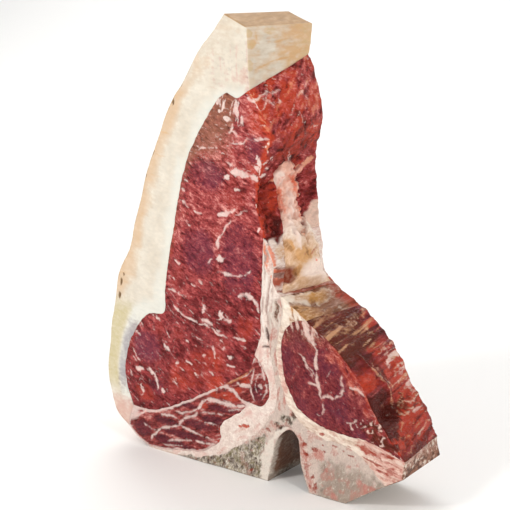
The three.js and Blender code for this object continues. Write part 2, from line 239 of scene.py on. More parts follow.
def side_relief(x, z, share):
    """How far the steak's own sides stand out, at a place of the cut face carried inwards"""
    depth = THICK * share
    spots = joined(x, depth, z)
    rind = RIND_RELIEF * np.sin(2 * math.pi * z / RIND_PITCH + 2.5 * share) + 0.3 * rough(spots, 7, 1)
    rind *= smooth(z, 4, 20) * (1 - smooth(z, 236, 245)) * smooth(-x, 10, 30)
    total = np.zeros(len(x))
    for lump_height, lump_share, tall, deep, out in SIDE_LUMPS:
        total += out * np.exp(-(((z - lump_height) / tall) ** 2) - ((share - lump_share) / deep) ** 2)
    for width, out, route in SIDE_CORDS + SIDE_CLEFTS:
        total += out * strokes(depth, z, [(width, route)], 1.8) * smooth(x, -1, 2)
    # the strands and fibres of the tenderloin's long side
    along = (x - z) / math.sqrt(2)
    strands = joined(along + 0.1 * depth, depth, z)
    fillet = smooth(z, 36, 44) * (1 - smooth(z, 84, 92)) * smooth(x, 36, 44)
    total += STRAND_RELIEF * np.sin(2 * math.pi * along / STRAND_PITCH + share) * fillet
    fibres = smooth(z, 22, 30) * (1 - smooth(z, 98, 102)) * smooth(x, 24, 30)
    total += 0.4 * rough(strands, (2.4, 22, 60), 2, 2) * fibres
    total += 0.22 * rough(strands, (1.1, 16, 60), 3, 2) * fibres
    # the torn side of the loin, with folds in its hollow near the cut face
    meat = smooth(z, 108, 114) * (1 - smooth(z, 204, 208)) * smooth(x, -1, 2)
    total += 0.7 * rough(spots, (3.4, 5, 3), 4) * meat
    folds = np.exp(-(((z - 146) / 18) ** 2) - ((share - 0.16) / 0.2) ** 2)
    total += 1.3 * rough(spots, (5, 2.6, 8), 5, 2) * folds * smooth(x, -1, 2)
    # the block of back fat, and the crease between it and the loin
    block = smooth(z, 208, 214) * smooth(x, -1, 1) * (1 - smooth(z, 234, 238))
    total += 0.4 * rough(spots, (9, 9, 9), 6) * block
    total -= 0.7 * np.exp(-(((z - 207.5) / 1.1) ** 2)) * smooth(x, 0, 2)
    return rind + total * smooth(share, -0.1, 0.12) * (1 - smooth(z, 235, 240)) * smooth(x, -8, -2)


def ripple(x, z):
    """A faint waviness of the cut faces"""
    return 0.35 * np.sin(x / 7 + z / 11) * np.sin(z / 8 - x / 13)


def lattice_in(outline, step):
    """Staggered points inside an outline, and how far each is from it"""
    after = np.roll(outline, -1, axis=0)
    low, high = outline.min(axis=0), outline.max(axis=0)
    rise = step * math.sqrt(3) / 2
    jitter = np.random.default_rng(3)
    found = []
    for row, z in enumerate(np.arange(low[1] + rise / 2, high[1], rise)):
        crossed = (outline[:, 1] > z) != (after[:, 1] > z)
        a, b = outline[crossed], after[crossed]
        crossings = np.sort(a[:, 0] + (z - a[:, 1]) / (b[:, 1] - a[:, 1]) * (b[:, 0] - a[:, 0]))
        x = np.arange(low[0] + (row % 2) * step / 2, high[0], step)
        x = x[np.searchsorted(crossings, x) % 2 == 1]
        found.append(joined(x, np.full(len(x), z)))
    found = np.vstack(found)
    found += step * jitter.uniform(-POINT_JITTER, POINT_JITTER, found.shape)
    distance = distance_to(outline, found)
    clear = distance > EDGE_CLEAR * step
    return found[clear], distance[clear]


def distance_to(outline, points):
    """How far each point is from the nearest point of an outline"""
    tree = kdtree.KDTree(len(outline))
    for i, (x, z) in enumerate(outline.tolist()):
        tree.insert((x, z, 0), i)
    tree.balance()
    return np.array([tree.find((x, z, 0))[2] for x, z in points.tolist()])


def triangulate(points, outline_count):
    """Triangles between points of which the first ones are the outline, in order"""
    edges = [(i, (i + 1) % outline_count) for i in range(outline_count)]
    inside_only = 1
    made = delaunay_2d_cdt([Vector(point) for point in points.tolist()], edges, [], inside_only,
                           MERGE_BELOW)
    assert len(made[0]) == len(points), "the outline crosses itself"
    triangles = np.array(made[2])
    a, b, c = (points[triangles[:, i]] for i in range(3))
    turned = (b[:, 0] - a[:, 0]) * (c[:, 1] - a[:, 1]) < (b[:, 1] - a[:, 1]) * (c[:, 0] - a[:, 0])
    triangles[turned] = triangles[turned][:, ::-1]
    return triangles


def meshed(name, points, faces, masks, material):
    """A piece made of groups of points in millimetres, groups of faces and the masks of the points"""
    mesh = bpy.data.meshes.new(name)
    mesh.from_pydata((np.vstack(points) * MM).tolist(), [], np.vstack(faces).tolist())
    for mask, parts in masks.items():
        values = np.clip(np.concatenate(parts), 0, 1)
        mesh.attributes.new(mask, "FLOAT", "POINT").data.foreach_set("value", values)
    mesh.shade_smooth()
    mesh.materials.append(material)
    piece = bpy.data.objects.new(name, mesh)
    bpy.context.scene.collection.objects.link(piece)
    return piece


def side_triangles(number, full):
    """Triangles of a layer's side, from the numbers of its points. A full column has all its
    points, the others only their two ends, and a fan leads from one kind to the other."""
    rows = number.shape[1]
    after, full_after = np.roll(number, -1, axis=0), np.roll(full, -1)
    a, b = number[full & full_after], after[full & full_after]
    halves = ((a[:, :-1], a[:, 1:], b[:, :-1]), (a[:, 1:], b[:, 1:], b[:, :-1]))
    triangles = [np.stack(corners, axis=-1).reshape(-1, 3) for corners in halves]
    a, b = number[~full & ~full_after], after[~full & ~full_after]
    triangles += [joined(a[:, 0], a[:, -1], b[:, 0]), joined(a[:, -1], b[:, -1], b[:, 0])]
    half = rows // 2
    for i in np.flatnonzero(full != full_after):
        a, b = (number[i], after[i]) if full[i] else (after[i], number[i])
        fan = [(a[j], a[j + 1], b[0] if j < half else b[-1]) for j in range(rows - 1)]
        fan.append((a[half], b[-1], b[0]))
        triangles.append(np.array(fan) if full[i] else np.array(fan)[:, ::-1])
    return triangles


def layer(name, edge, face, side, material):
    """One layer of the steak as a closed mesh that runs from the cut face to the back face. Its
    edge names the lines round it, with a minus for one that is followed backwards. The functions
    face and side give each place its relief and the masks that the material reads, and a mask
    that one of them leaves out is 0 there."""
    runs = []
    for word in edge.split():
        step = -1 if word.startswith("-") else 1
        runs.append([part[::step][:-1] for part in line[word.lstrip("-")]])
    place, out, follow, owner = (np.concatenate(parts) for parts in zip(*runs))
    # the depths of the rows, closer together round the two edges
    arc = np.linspace(0, math.pi / 2, ARC_STEPS + 1)
    rounded = CUT_ROUND * (1 - np.cos(arc))
    middle = np.linspace(CUT_ROUND, THICK - CUT_ROUND, SIDE_ROWS)[1:-1]
    depth = np.concatenate([rounded, middle, THICK - rounded[::-1]])
    inset = np.concatenate([rounded[::-1], 0 * middle, rounded])
    share = depth / THICK
    columns, rows = len(place), len(depth)

    # the side, which leans as the layer passes through and stands out where it is the steak's own
    ends = joined(*carried_through(*place.T))
    grid_x, grid_z, grid_share = (grid.ravel() for grid in np.broadcast_arrays(
        owner[:, :1], owner[:, 1:], share[None, :]))
    push = side_relief(grid_x, grid_z, grid_share).reshape(columns, rows) - inset
    wall = place[:, None] * (1 - share[:, None]) + ends[:, None] * share[:, None]
    wall = wall + (follow[:, None] * push)[..., None] * out[:, None]
    wave = ripple(*place.T)[:, None]
    wall_y = depth - THICK / 2 - wave * (1 - share) + wave * share
    points = np.stack([wall[..., 0], wall_y, wall[..., 1]], axis=-1)
    sides = side(grid_x, grid_z, THICK * grid_share)
    read = [part.attribute_name for part in material.node_tree.nodes if part.type == "ATTRIBUTE"]

    # columns inside the steak need no more than their two ends
    full = follow > 0
    keep = np.repeat(full[:, None], rows, axis=1)
    keep[:, [0, -1]] = True
    number = np.full((columns, rows), -1)
    number[keep] = np.arange(keep.sum())
    triangles = side_triangles(number, full)
    points_found = [points[keep]]
    masks_found = {mask: [(sides.get(mask, 0) + 0 * grid_x).reshape(columns, rows)[keep]] for mask in read}
    count = int(keep.sum())
    # the cut face and the back face
    for turned, row, step in ((False, 0, FACE_STEP), (True, -1, BACK_STEP)):
        outline = wall[:, row]
        inner, inside = lattice_in(outline, step)
        flat = joined(*carried_back(*inner.T)) if turned else inner
        painted = face(*np.vstack([place, flat]).T, np.concatenate([np.zeros(columns), inside]), turned)
        swell = painted["relief"][columns:] * smooth(inside, 0, 1.2) + ripple(*flat.T)
        y = (THICK / 2 + swell) * (1 if turned else -1)
        points_found.append(joined(inner[:, 0], y, inner[:, 1]))
        for mask, parts in masks_found.items():
            values = painted.get(mask, 0) + np.zeros(columns + len(inner))
            parts[0][number[:, row]] = values[:columns]
            parts.append(values[columns:])
        cap = triangulate(np.vstack([outline, inner]), columns)
        cap = np.where(cap < columns, number[:, row][np.minimum(cap, columns - 1)], cap - columns + count)
        triangles.append(cap[:, ::-1] if turned else cap)
        count += len(inner)

    return meshed(name, points_found, triangles, masks_found, material)


LINE_TAPER = 0.75           # how much of its width a drawn line loses towards its ends
PATCH_CORE = 0.6            # where a soft patch starts to fade, and where it ends, as shares of
PATCH_RIM = 1.3             # its size


def strokes(x, z, lines, edge=1.3):
    """A mask of drawn lines, each a width and the places that it runs through. A line thins out
    towards its ends, its width and strength waver, and it fades over that many millimetres."""
    mask = np.zeros(len(x))
    spots = joined(x, z, 0 * x)
    waver = 1 + 0.5 * lumps(spots, 2.2, 61) + 0.35 * lumps(spots, 0.9, 62)
    for width, places in lines:
        legs = [math.dist(a, b) for a, b in zip(places, places[1:])]
        run = 0
        for (ax, az), (bx, bz), leg in zip(places, places[1:], legs):
            share = np.clip(((x - ax) * (bx - ax) + (z - az) * (bz - az)) / leg**2, 0, 1)
            distance = np.hypot(x - ax - share * (bx - ax), z - az - share * (bz - az))
            along = 2 * (run + share * leg) / sum(legs) - 1
            half = 0.5 * width * (1 - LINE_TAPER * along**4) * waver
            mask = np.maximum(mask, smooth(half - distance, -0.5 * edge, 0.5 * edge)
                              * smooth(half, -0.1, 0.45))
            run += leg
    return mask * (0.86 + 0.28 * lumps(spots, 1.4, 63))


def webs(spots, size, seed, width=0.2):
    """Thin wavering lines, drawn out along the longest size, some of them faint"""
    net = 1 - smooth(np.abs(rough(spots, size, seed, 2)), 0, width)
    return net * smooth(rough(spots, 0.8 * np.asarray(size, float), seed + 3, 2), -0.15, 0.5)


def patches(x, z, places):
    """A mask of soft oval patches, each as X, Z, half its width and half its height"""
    mask = np.zeros(len(x))
    for px, pz, rx, rz in places:
        away = np.hypot((x - px) / rx, (z - pz) / rz)
        mask = np.maximum(mask, 1 - smooth(away, PATCH_CORE, PATCH_RIM))
    return mask


def wandered(x, z, amount, seed=0):
    """Places moved about a little, so that what is drawn on them looks grown"""
    spots = joined(x, z, np.zeros(len(x)))
    dx = lumps(spots, 4.5, 21 + seed) + 0.5 * lumps(spots, 1.6, 22 + seed)
    dz = lumps(spots, 4.5, 23 + seed) + 0.5 * lumps(spots, 1.6, 24 + seed)
    return x + amount * dx, z + amount * dz


def face_spots(x, z, turned):
    """Where the random grain of the cut face is looked up. The back face has a grain of its own."""
    return joined(x, z, np.full(len(x), BACK_GRAIN * turned))


def grained(spots, degrees):
    """The same places in a frame that leans from +X towards +Z, so that what is drawn follows the
    grain of the tissue"""
    c, s = math.cos(math.radians(degrees)), math.sin(math.radians(degrees))
    x, z, third = spots.T
    return joined(c * x + s * z, c * z - s * x, third)


def linear(colour):
    """An sRGB hex colour as linear values"""
    parts = [int(colour[i:i + 2], 16) / 255 for i in (1, 3, 5)]
    return [part / 12.92 if part <= 0.04045 else ((part + 0.055) / 1.055) ** 2.4 for part in parts] + [1]


def node(tree, kind, settings=None, links=None):
    """Adds a node with its settings, by property or input name, and its links"""
    made = tree.nodes.new(kind)
    for name, value in (settings or {}).items():
        if isinstance(name, str) and hasattr(made, name):
            setattr(made, name, value)
        else:
            made.inputs[name].default_value = value
    for name, source in (links or {}).items():
        tree.links.new(source, made.inputs[name])
    return made


COARSE_GRAIN = 2.4          # the two sizes of a tissue's grain, as shares of the one given
FINE_GRAIN = 0.9
NOISE_LOW = 0.32            # the range that a noise hardly leaves, widened to 0 and 1
NOISE_HIGH = 0.68
FINE_RELIEF = 0.45          # height of the fine grain beside the coarse one
MOIST_IOR = 1.38            # of moist tissue, and of the film of water on it
WATER_IOR = 1.33


def tissue(name, shades, coats, grain, lean=0, stretch=1, through=3.5, spread=0.4, mottle=0.1,
           gloss=(0.3, 0.5), bump=0.3, film=0):
    """Raw tissue. The mask tone and a grain pick a shade from dark to pale, and coats of other
    colours lie over it, each by its own mask, ragged by the fine grain and thinner in places.
    Grain is its size in millimetres; it leans that many degrees down to the right, is drawn out
    that many times along there and through the thickness, and mottles all the colours. Gloss is
    the roughness, from wet to dry, bump the height of the grain, film the share of wet film."""
    material = bpy.data.materials.new(name)
    material.use_nodes = True
    tree = material.node_tree
    shader = tree.nodes["Principled BSDF"]
    place = node(tree, "ShaderNodeTexCoord").outputs["Object"]
    drawn = node(tree, "ShaderNodeMapping",
                 {"vector_type": "TEXTURE", "Rotation": (0, math.radians(lean), 0),
                  "Scale": (stretch, through, 1)},
                 {"Vector": place}).outputs["Vector"]
    noises = []
    for size, detail in ((COARSE_GRAIN * grain, 3), (FINE_GRAIN * grain, 2)):
        noise = node(tree, "ShaderNodeTexNoise",
                     {"Scale": 1 / (size * MM), "Detail": detail, "Roughness": 0.6},
                     {"Vector": drawn}).outputs["Fac"]
        widened = node(tree, "ShaderNodeMapRange", {"From Min": NOISE_LOW, "From Max": NOISE_HIGH},
                       {"Value": noise}).outputs["Result"]
        noises.append(widened)
    coarse, fine = noises
    both = node(tree, "ShaderNodeMath", {"operation": "ADD"}, {0: coarse, 1: fine}).outputs[0]
    tone = node(tree, "ShaderNodeAttribute", {"attribute_name": "tone"}).outputs["Fac"]
    shifted = node(tree, "ShaderNodeMath", {"operation": "MULTIPLY_ADD", 1: spread, 2: -spread},
                   {0: both}).outputs[0]
    factor = node(tree, "ShaderNodeMath", {"operation": "ADD", "use_clamp": True},
                  {0: tone, 1: shifted}).outputs[0]
    ramp = node(tree, "ShaderNodeValToRGB", {}, {"Fac": factor})
    for i, (position, colour) in enumerate(shades):
        stop = ramp.color_ramp.elements[i] if i < 2 else ramp.color_ramp.elements.new(position)
        stop.position = position
        stop.color = linear(colour)
    colour = ramp.outputs["Color"]
    for mask, hue, ragged in coats:
        laid = node(tree, "ShaderNodeAttribute", {"attribute_name": mask}).outputs["Fac"]
        grown = node(tree, "ShaderNodeMath", {"operation": "MULTIPLY", 1: 1 + ragged},
                     {0: laid}).outputs[0]
        worn = node(tree, "ShaderNodeMath", {"operation": "MULTIPLY_ADD", 1: -ragged, "use_clamp": True},
                    {0: fine, 2: grown}).outputs[0]
        veil = node(tree, "ShaderNodeMath", {"operation": "MULTIPLY_ADD", 1: -0.5 * ragged, 2: 1},
                    {0: coarse}).outputs[0]
        thin = node(tree, "ShaderNodeMath", {"operation": "MULTIPLY"}, {0: worn, 1: veil}).outputs[0]
        colour = node(tree, "ShaderNodeMix", {"data_type": "RGBA", 7: linear(hue)},
                      {0: thin, 6: colour}).outputs[2]
    shade = node(tree, "ShaderNodeMapRange", {"From Max": 2, "To Min": 1 - mottle, "To Max": 1 + mottle},
                 {"Value": both}).outputs["Result"]
    colour = node(tree, "ShaderNodeVectorMath", {"operation": "SCALE"},
                  {0: colour, "Scale": shade}).outputs[0]
    tree.links.new(colour, shader.inputs["Base Color"])
    wet, dry = gloss
    roughness = node(tree, "ShaderNodeMapRange", {"To Min": wet, "To Max": dry},
                     {"Value": coarse}).outputs["Result"]
    tree.links.new(roughness, shader.inputs["Roughness"])
    height = node(tree, "ShaderNodeMath", {"operation": "MULTIPLY_ADD", 1: FINE_RELIEF},
                  {0: fine, 2: coarse}).outputs[0]
    normal = node(tree, "ShaderNodeBump", {"Distance": bump * MM}, {"Height": height}).outputs["Normal"]
    tree.links.new(normal, shader.inputs["Normal"])
    tree.links.new(normal, shader.inputs["Coat Normal"])
    settings = {"IOR": MOIST_IOR, "Specular IOR Level": 0.1, "Coat Weight": film, "Coat Roughness": 0.07,
                "Coat IOR": WATER_IOR}
    for setting, value in settings.items():
        shader.inputs[setting].default_value = value
    return material


# The tables of drawn lines hold a width and the places on the cut face that a line runs through,
# as X and Z. The tables of patches hold X, Z, half the width and half the height.
# The hard edge of the canal is drawn in lines, and the marrow in patches.
BONE_HARD = [(6.5, [(13, -3), (13.6, 8), (15.2, 17), (18.5, 25)]), (2.6, [(18.5, 25), (23, 30), (28, 33)])]
BONE_MARROW = [(44.5, 24.5, 2.4, 1.6), (38.5, 26, 1.3, 1.1), (50.5, 25.4, 0.9, 0.8),
               (39.2, 21, 1.6, 0.9), (48.5, 35, 1.6, 0.9), (54.5, 32, 1.8, 0.9), (57, 29.6, 1.6, 0.7),
               (62, 28.2, 0.9, 0.6), (67, 27, 2.2, 0.5), (46, 4, 1.4, 3), (44, 10, 0.9, 1.6),
               (15, 28.6, 1.5, 1.1), (4.5, 3.5, 1.8, 0.9), (49.5, 29, 0.8, 0.6)]
# rings of hard bone at the tip of the finger
BONE_RING = [(1.3, [(19, 86), (18, 92), (18.6, 98), (20.6, 101.6)]), (0.8, [(20.6, 90), (20.4, 94)]),
             (1.3, [(20.6, 101.6), (22.6, 97), (22.6, 90), (21, 85)]),
             (0.8, [(16.8, 84), (16.4, 90), (17, 97)])]
# how high the open cells of the foot reach: X, and Z there
BONE_FOOT = ((-60, -46, -33, -26, -19, -8, 0, 8, 12), (0, 1.2, 4.4, 5.6, 8, 14, 19.3, 24, 26))


def bone_face(x, z, inside, turned):
    spots = face_spots(x, z, turned)
    wx, wz = wandered(x, z, 1.1)
    edge = rough(spots, 3.2, 30, 2)
    foot = (smooth(np.interp(wx, *BONE_FOOT) - wz + 1.5 * edge, -1, 1.5)
            * (1 - smooth(wx - 0.12 * wz, 9, 11.5)))
    cells = rough(grained(spots, 70), (1.9, 1.0, 2), 31, 2)
    body = smooth(wx, 43, 52) * (1 - smooth(wz + 0.1 * (wx - 60) + 4 * edge, 13, 27))
    # painted shade: the notch above the canal is sunk a little and painted grey and dark
    notch = patches(wx, wz, [(27, 37.5, 4, 2.6), (32, 41, 1.8, 3), (22, 33, 3, 2)])
    tip = patches(wx, wz, [(20.6, 95, 1.5, 5.5)])
    hard = strokes(wx, wz, BONE_HARD, 1.6)
    marrow = patches(wx, wz, BONE_MARROW)
    margin = strokes(wx, wz, [(4, [(45, -2), (40.5, 11), (37, 22), (35.5, 31)])], 2.4)
    stem = smooth(z, 36, 46)
    flushed = rough(grained(spots, 86), (9, 1.7, 2), 32, 2)
    ring = strokes(wx, wz, BONE_RING)
    return {
        "relief": -0.5 * smooth(-cells, 0.1, 0.75) * foot + 0.2 * rough(spots, 3, 34) - 0.3 * marrow
            - 0.4 * smooth(inside, 1, 8) - 0.5 * notch - 0.5 * tip + 0.4 * ring + 0.25 * flushed * stem,
        "tone": 0.5 + 0.28 * cells,
        "beige": body * (0.8 + 0.4 * rough(grained(spots, 80), (5, 1.1, 2), 35, 2)),
        "fatty": 1 - foot - 0.85 * body - notch - tip + ring,
        "olive": 0.5 * foot * smooth(rough(spots, 2.4, 36) + 0.2 * smooth(x, -40, 0), 0.0, 0.5),
        "hard": hard * (1 - 0.6 * marrow) + 0.8 * ring,
        "pink": 0.65 * stem * smooth(flushed, -0.1, 0.7) * (1 - 0.6 * ring) + 0.7 * margin
            + 0.5 * smooth(rough(spots, 5, 37), 0, 0.6) * (1 - foot)
            + 0.35 * foot * smooth(edge, 0.2, 0.7) + 0.5 * body * smooth(edge, -0.2, 0.6)
            + 0.7 * patches(wx, wz, [(47, 22.5, 4, 4)]) * smooth(edge, -0.7, 0.2),
        "violet": 0.7 * patches(wx, wz, [(24.6, 60, 1.8, 7), (23.4, 70, 1.2, 5)])
            * smooth(flushed, -0.5, 0.3),
        "marrow": 0.75 * marrow + 0.5 * margin * smooth(rough(spots, (1.6, 3, 2), 38, 2), 0.05, 0.5)
            + 0.2 * tip + 0.4 * foot * smooth(rough(spots, 1.5, 33, 2), 0.55, 0.8),
        "dark": 0.6 * notch * smooth(-cells, -0.6, 0.2) + 0.5 * tip * smooth(cells, -0.2, 0.4)
            + 0.6 * strokes(wx, wz, [(1.4, [(20, 29), (26, 33.4), (31, 34.3)])])
            + 0.4 * foot * smooth(-cells, 0.3, 0.8),
        "brown": 0.7 * tip,
    }


def bone_side(x, z, depth):
    spots = joined(x, depth, z)
    canal = smooth(x, 15.2, 16.5) * (1 - smooth(x, 40, 41.3)) * smooth(z, 0.3, 2) * (1 - smooth(z, 33, 35))
    marks = rough(spots, (2, 9, 1.5), 38)
    near = 1 - smooth(depth + 2 * marks, 3, 7)
    left = 1 - smooth(x, 20, 26)
    return {
        "tone": 0.45 + 0.3 * marks,
        "beige": (1 - canal) * 0.8 * smooth(rough(spots, 5, 39), -0.5, 0.2),
        "hard": canal * near * left * 0.8,
        "marrow": (1 - canal) * 0.5 * smooth(rough(spots, 3, 41), 0.3, 0.6),
        # painted shade in the canal: its right wall dark, and its left wall darker further in from the cut
        # face, over the brown
        "dark": canal * 0.75 * (1 - left) + canal * left * 0.5 * smooth(depth + 3 * marks, 12, 28),
        "brown": canal * (1 - 0.6 * near * left),
    }


# Spongy bone, sawn: open cells of grey bone with dark and olive marrow in them, matt where the saw
# tore them, hard, white and a little glossy along the edge of the canal, and smeared with fat above.
spongy_bone = tissue(
    "sawn_spongy_bone", [(0.05, "#4A4038"), (0.35, "#80756A"), (0.62, "#A79C8F"), (1.0, "#D6CDC0")],
    [("beige", "#A08F82", 0.7), ("olive", "#8F8460", 0.8), ("fatty", "#CFBBB0", 0.7),
     ("pink", "#B97A6E", 0.6), ("violet", "#8E5C6A", 0.4), ("hard", "#DED4C8", 0.5),
     ("brown", "#7B5440", 0.5), ("marrow", "#8C3222", 0.5), ("dark", "#3F271B", 0.4)],
    grain=0.7, lean=-70, stretch=1.7, spread=0.42, mottle=0.14, gloss=(0.3, 0.6), bump=0.35, film=0.12)
bone = layer("sawn_bone", "-chine_sole -canal -body_sole -body_edge -bone_fillet -bone_seam",
             bone_face, bone_side, spongy_bone)
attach(bone, "root")
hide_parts("t_bone")

# Seam fat
# Soft white fat and thin connective tissue that hold the loin and the chine muscles to the bone.
# It runs up beside the finger bone as a tough fascia with a dark clot of blood in its fold.
corner.update({
    "fat_foot": (-68.5, 0, -103),
    "chine_heel": (4, 42),
    "seam_fork": (6.5, 69),
    "seam_top": (12.5, 133, 20),
})
draw("chine_under", "chine_heel", [(-8, 31.5), (-16, 26), (-17, 16), (-27, 8), (-45, 3.5)], "fat_foot",
     ragged=0.45)
draw("fat_sole", "chine_foot", [], "fat_foot", outer=True)
draw("seam_side", "seam_top", [(19, 119), (18.5, 110)], "finger_tip", outer=True)
draw("loin_seam", "seam_fork", [(10, 80), (10.5, 100)], "seam_top", ragged=0.5)
draw("small_chine", "seam_fork", [(12, 63), (16, 51), (11.5, 41.5)], "chine_heel", ragged=0.4)
# white fascia, the pink strand beside it and the clot of blood under it
FASCIA = [(1.0, [(12.2, 131), (11.6, 121), (12.2, 112), (11.4, 103), (10.8, 94)]),
          (1.1, [(14.2, 119), (14.6, 109), (13.6, 99)]),
          (0.9, [(17, 112), (16.4, 104), (15.6, 94), (16.4, 88)]),
          (1.2, [(1, 101), (6, 100), (9.5, 95), (12.4, 88), (13.4, 80)]),
          (0.9, [(18, 103.5), (17.4, 97), (17.8, 90), (19, 84)]),
          (1.3, [(21, 86), (17.5, 82), (17.4, 77)])]
PINK_STRAND = [(2.4, [(13.2, 130), (13.4, 124), (15, 118), (17, 112)])]
CLOT = [(1.7, [(13.8, 86), (15.2, 80.5), (16.8, 76)]), (1.3, [(11.8, 74.6), (14, 75.4), (17.4, 75)])]
# how low the meat of the loin hangs down over the fat on the right side: depths and heights
FLESH_EDGE = ((0, 4, 13, 16, 24, 26, 28, 31, 34, 38, 42),
              (129, 131, 131, 133, 129, 130, 135, 139, 142, 145, 147))


def side_flesh(depth, z):
    """How fleshy the right side is between the loin and the finger bone, from fat, 0, to meat, 1"""
    spots = joined(depth, z, 0 * z)
    return smooth(z - np.interp(depth, *FLESH_EDGE) + 1.8 * rough(spots, 3.5, 40, 2), -0.8, 0.8)


def off_route(depth, z, depths, heights):
    """How far above or below a line of the side a place lies: the line is given by depth and height"""
    return np.abs(z - np.interp(depth, depths, heights))


def seam_fat_face(x, z, inside, turned):
    spots = face_spots(x, z, turned)
    wx, wz = wandered(x, z, 0.7, 1)
    fascia = strokes(wx, wz, FASCIA, 0.9)
    strand = strokes(wx, wz, PINK_STRAND, 1.2)
    upper = smooth(z, 76, 92)
    threads = rough(grained(spots, 87), (9, 1.2, 2), 42, 2)
    clot = strokes(wx, wz, CLOT) * (0.2 if turned else 1)
    red = patches(wx, wz, [(-0.3, 28, 2.6, 1.2), (-3.5, 27, 1.4, 0.9), (2.5, 28.6, 1.2, 0.8)])
    cloudy = rough(spots, 5, 43, 2)
    stem = smooth(z, 44, 58) * (1 - smooth(z, 84, 92))
    veins = smooth(rough(grained(spots, 40), (7, 2, 2), 44, 2), 0.3, 0.7)
    near_bone = (smooth(9 - np.abs(z - 0.62 * x - 12) + 2 * cloudy, 3, 8) * (1 - upper)
                 * (1 - smooth(x, 12, 18)))
    between = upper * smooth(-threads, -0.15, 0.5)
    return {
        "relief": 0.4 * smooth(inside, 0, 6) + 0.55 * fascia + 0.3 * threads * upper + 0.7 * strand
            - 0.9 * clot + 0.2 * rough(spots, 2.5, 45) - 0.3 * red,
        "tone": 0.62 + 0.15 * threads * upper + 0.12 * (1 - upper) * rough(spots, 2.2, 46),
        "white": 0.9 * fascia + 0.35 * (1 - upper) * smooth(cloudy, 0, 0.5),
        "pink": np.clip(0.55 * smooth(cloudy, 0.1, 0.7) + 0.45 * veins
                        + 0.5 * stem * smooth(threads, -0.3, 0.5) - 0.4 * near_bone, 0, 0.9)
                        * (1 - 0.6 * fascia),
        "meat": between * (1 - fascia) * (0.45 - 0.2 * smooth(wx, 15, 20)),
        "salmon": strand * smooth(rough(spots, 2.2, 47, 2), -0.6, 0.0),
        "red": 0.9 * red,
        "dark": clot + 0.12 * between * (1 - fascia),
    }


def seam_fat_side(x, z, depth):
    spots = joined(x, depth, z)
    low = 1 - smooth(z, 8, 20)
    high = smooth(x, 5, 10)
    wd, wz = wandered(depth, z, 1.1, 2)
    lines = rough(joined(z + 0.15 * depth, 0.3 * depth, x), (1.6, 5, 9), 48, 2)
    cloudy = rough(spots, 4, 49, 2)
    # the pocket: brown and red, with painted shade in its hollow
    pocket = patches(wd, wz, [(3, 112.8, 6.5, 5.8), (8.6, 112.6, 3.2, 5.4)]) * high
    amber = patches(wd, wz, [(14.4, 116.4, 1.8, 3.4), (16, 120.4, 2, 2)]) * high
    # the crack across the side: brown, with painted shade in it
    from_crack = off_route(depth, wz, (0, 8, 20, 42), (106, 105.4, 104.2, 104.6))
    crack = smooth(2.1 - from_crack - 1.6 * (1 - smooth(depth, 2, 16)), -0.6, 0.8) * high
    from_flame = off_route(depth, wz, (12, 26, 42), (106.4, 107, 107.4))
    flame = smooth(wd, 12, 24) * smooth(1.5 - from_flame, -0.9, 0.9) * high
    flesh = side_flesh(depth, z) * high
    strand = patches(wd, wz, [(0.6, 126, 1.8, 5), (1, 119, 1.6, 5), (2.6, 112.4, 1.4, 2)]) * high
    return {
        "tone": 0.6 + 0.2 * lines + 0.12 * cloudy,
        "white": 0.6 * patches(wd, wz, [(28, 112, 9, 4), (36, 116, 6, 6)]) * high
            + 0.8 * patches(wd, wz, [(0.4, 130, 1.2, 2), (11.4, 111.4, 1.2, 2.4)]) * high,
        "pink": 0.3 * smooth(cloudy, -0.1, 0.5) + 0.3 * smooth(depth, 28, 38) * high,
        "yellow": 0.9 * amber + 0.5 * patches(wd, wz, [(9, 124, 6, 5)]) * high
            * smooth(cloudy, -0.4, 0.4) + 0.4 * low,
        "salmon": 0.9 * strand * smooth(lines, -0.7, -0.1),
        "brown": pocket * (0.85 + 0.3 * lines) + crack * (0.9 - 0.3 * lines)
            + 0.5 * amber * smooth(-lines, -0.2, 0.4),
        "meat": flesh,
        "red": 0.95 * flame * smooth(lines, -0.9, 0)
            + 0.7 * patches(wd, wz, [(31, 117.5, 1.4, 1.2)]) * high + 0.4 * pocket * smooth(lines, 0, 0.5),
        "dark": 0.5 * pocket * smooth(-lines, 0.05, 0.6) + 0.6 * crack * smooth(-lines, -0.1, 0.5)
            + 0.8 * flesh * smooth(-lines, -0.2, 0.3),
    }


# Intermuscular fat, cut with a knife: cream with a pink flush where blood has soaked in, softly
# glossy, with white threads of fascia standing a little proud of it.
soft_fat = tissue(
    "soft_seam_fat", [(0.1, "#B99A8E"), (0.45, "#D3BDB2"), (0.9, "#E6DAD0")],
    [("pink", "#CB978B", 0.7), ("yellow", "#C28F52", 0.3), ("meat", "#5C140D", 0),
     ("brown", "#93442C", 0.3), ("salmon", "#DB8468", 0.3), ("white", "#E6DCD4", 0.4),
     ("red", "#AE432B", 0.4), ("dark", "#3F1712", 0.25)],
    grain=1.1, spread=0.28, mottle=0.08, gloss=(0.24, 0.46), bump=0.22, film=0.1)
seam_fat = layer("soft_seam_fat", "chine_under -fat_sole bone_seam -seam_side -loin_seam small_chine",
                 seam_fat_face, seam_fat_side, soft_fat)
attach(seam_fat, "root")
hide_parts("seam_fat")

# Fillet fat
# The fat that wraps the tenderloin: a thin cream sheet between it and the bone, thicker over its
# head, and torn into pink strands at the far end, where it was pulled off the next cut.
corner.update({
    "fillet_fat_top": (39.5, 93.5, 57),
    "fillet_head": (30, 91),
    "fillet_end": (98.5, 31, 15),
    "strand_corner": (97, 21, -34),
})
draw("fillet_fat_side", "finger_tip", [(31, 99)], "fillet_fat_top", outer=True)
draw("strand_side", "fillet_end", [], "strand_corner", outer=True)
draw("strand_foot", "strand_corner", [], "body_corner", outer=True)
draw("fillet_under", "fillet_head",
     [(24.8, 84), (23.5, 73), (28.5, 54), (38, 43), (56, 37.5), (76, 37)], "fillet_end", ragged=0.5)
draw("fillet_cap", "fillet_head", [(35, 93)], "fillet_fat_top")
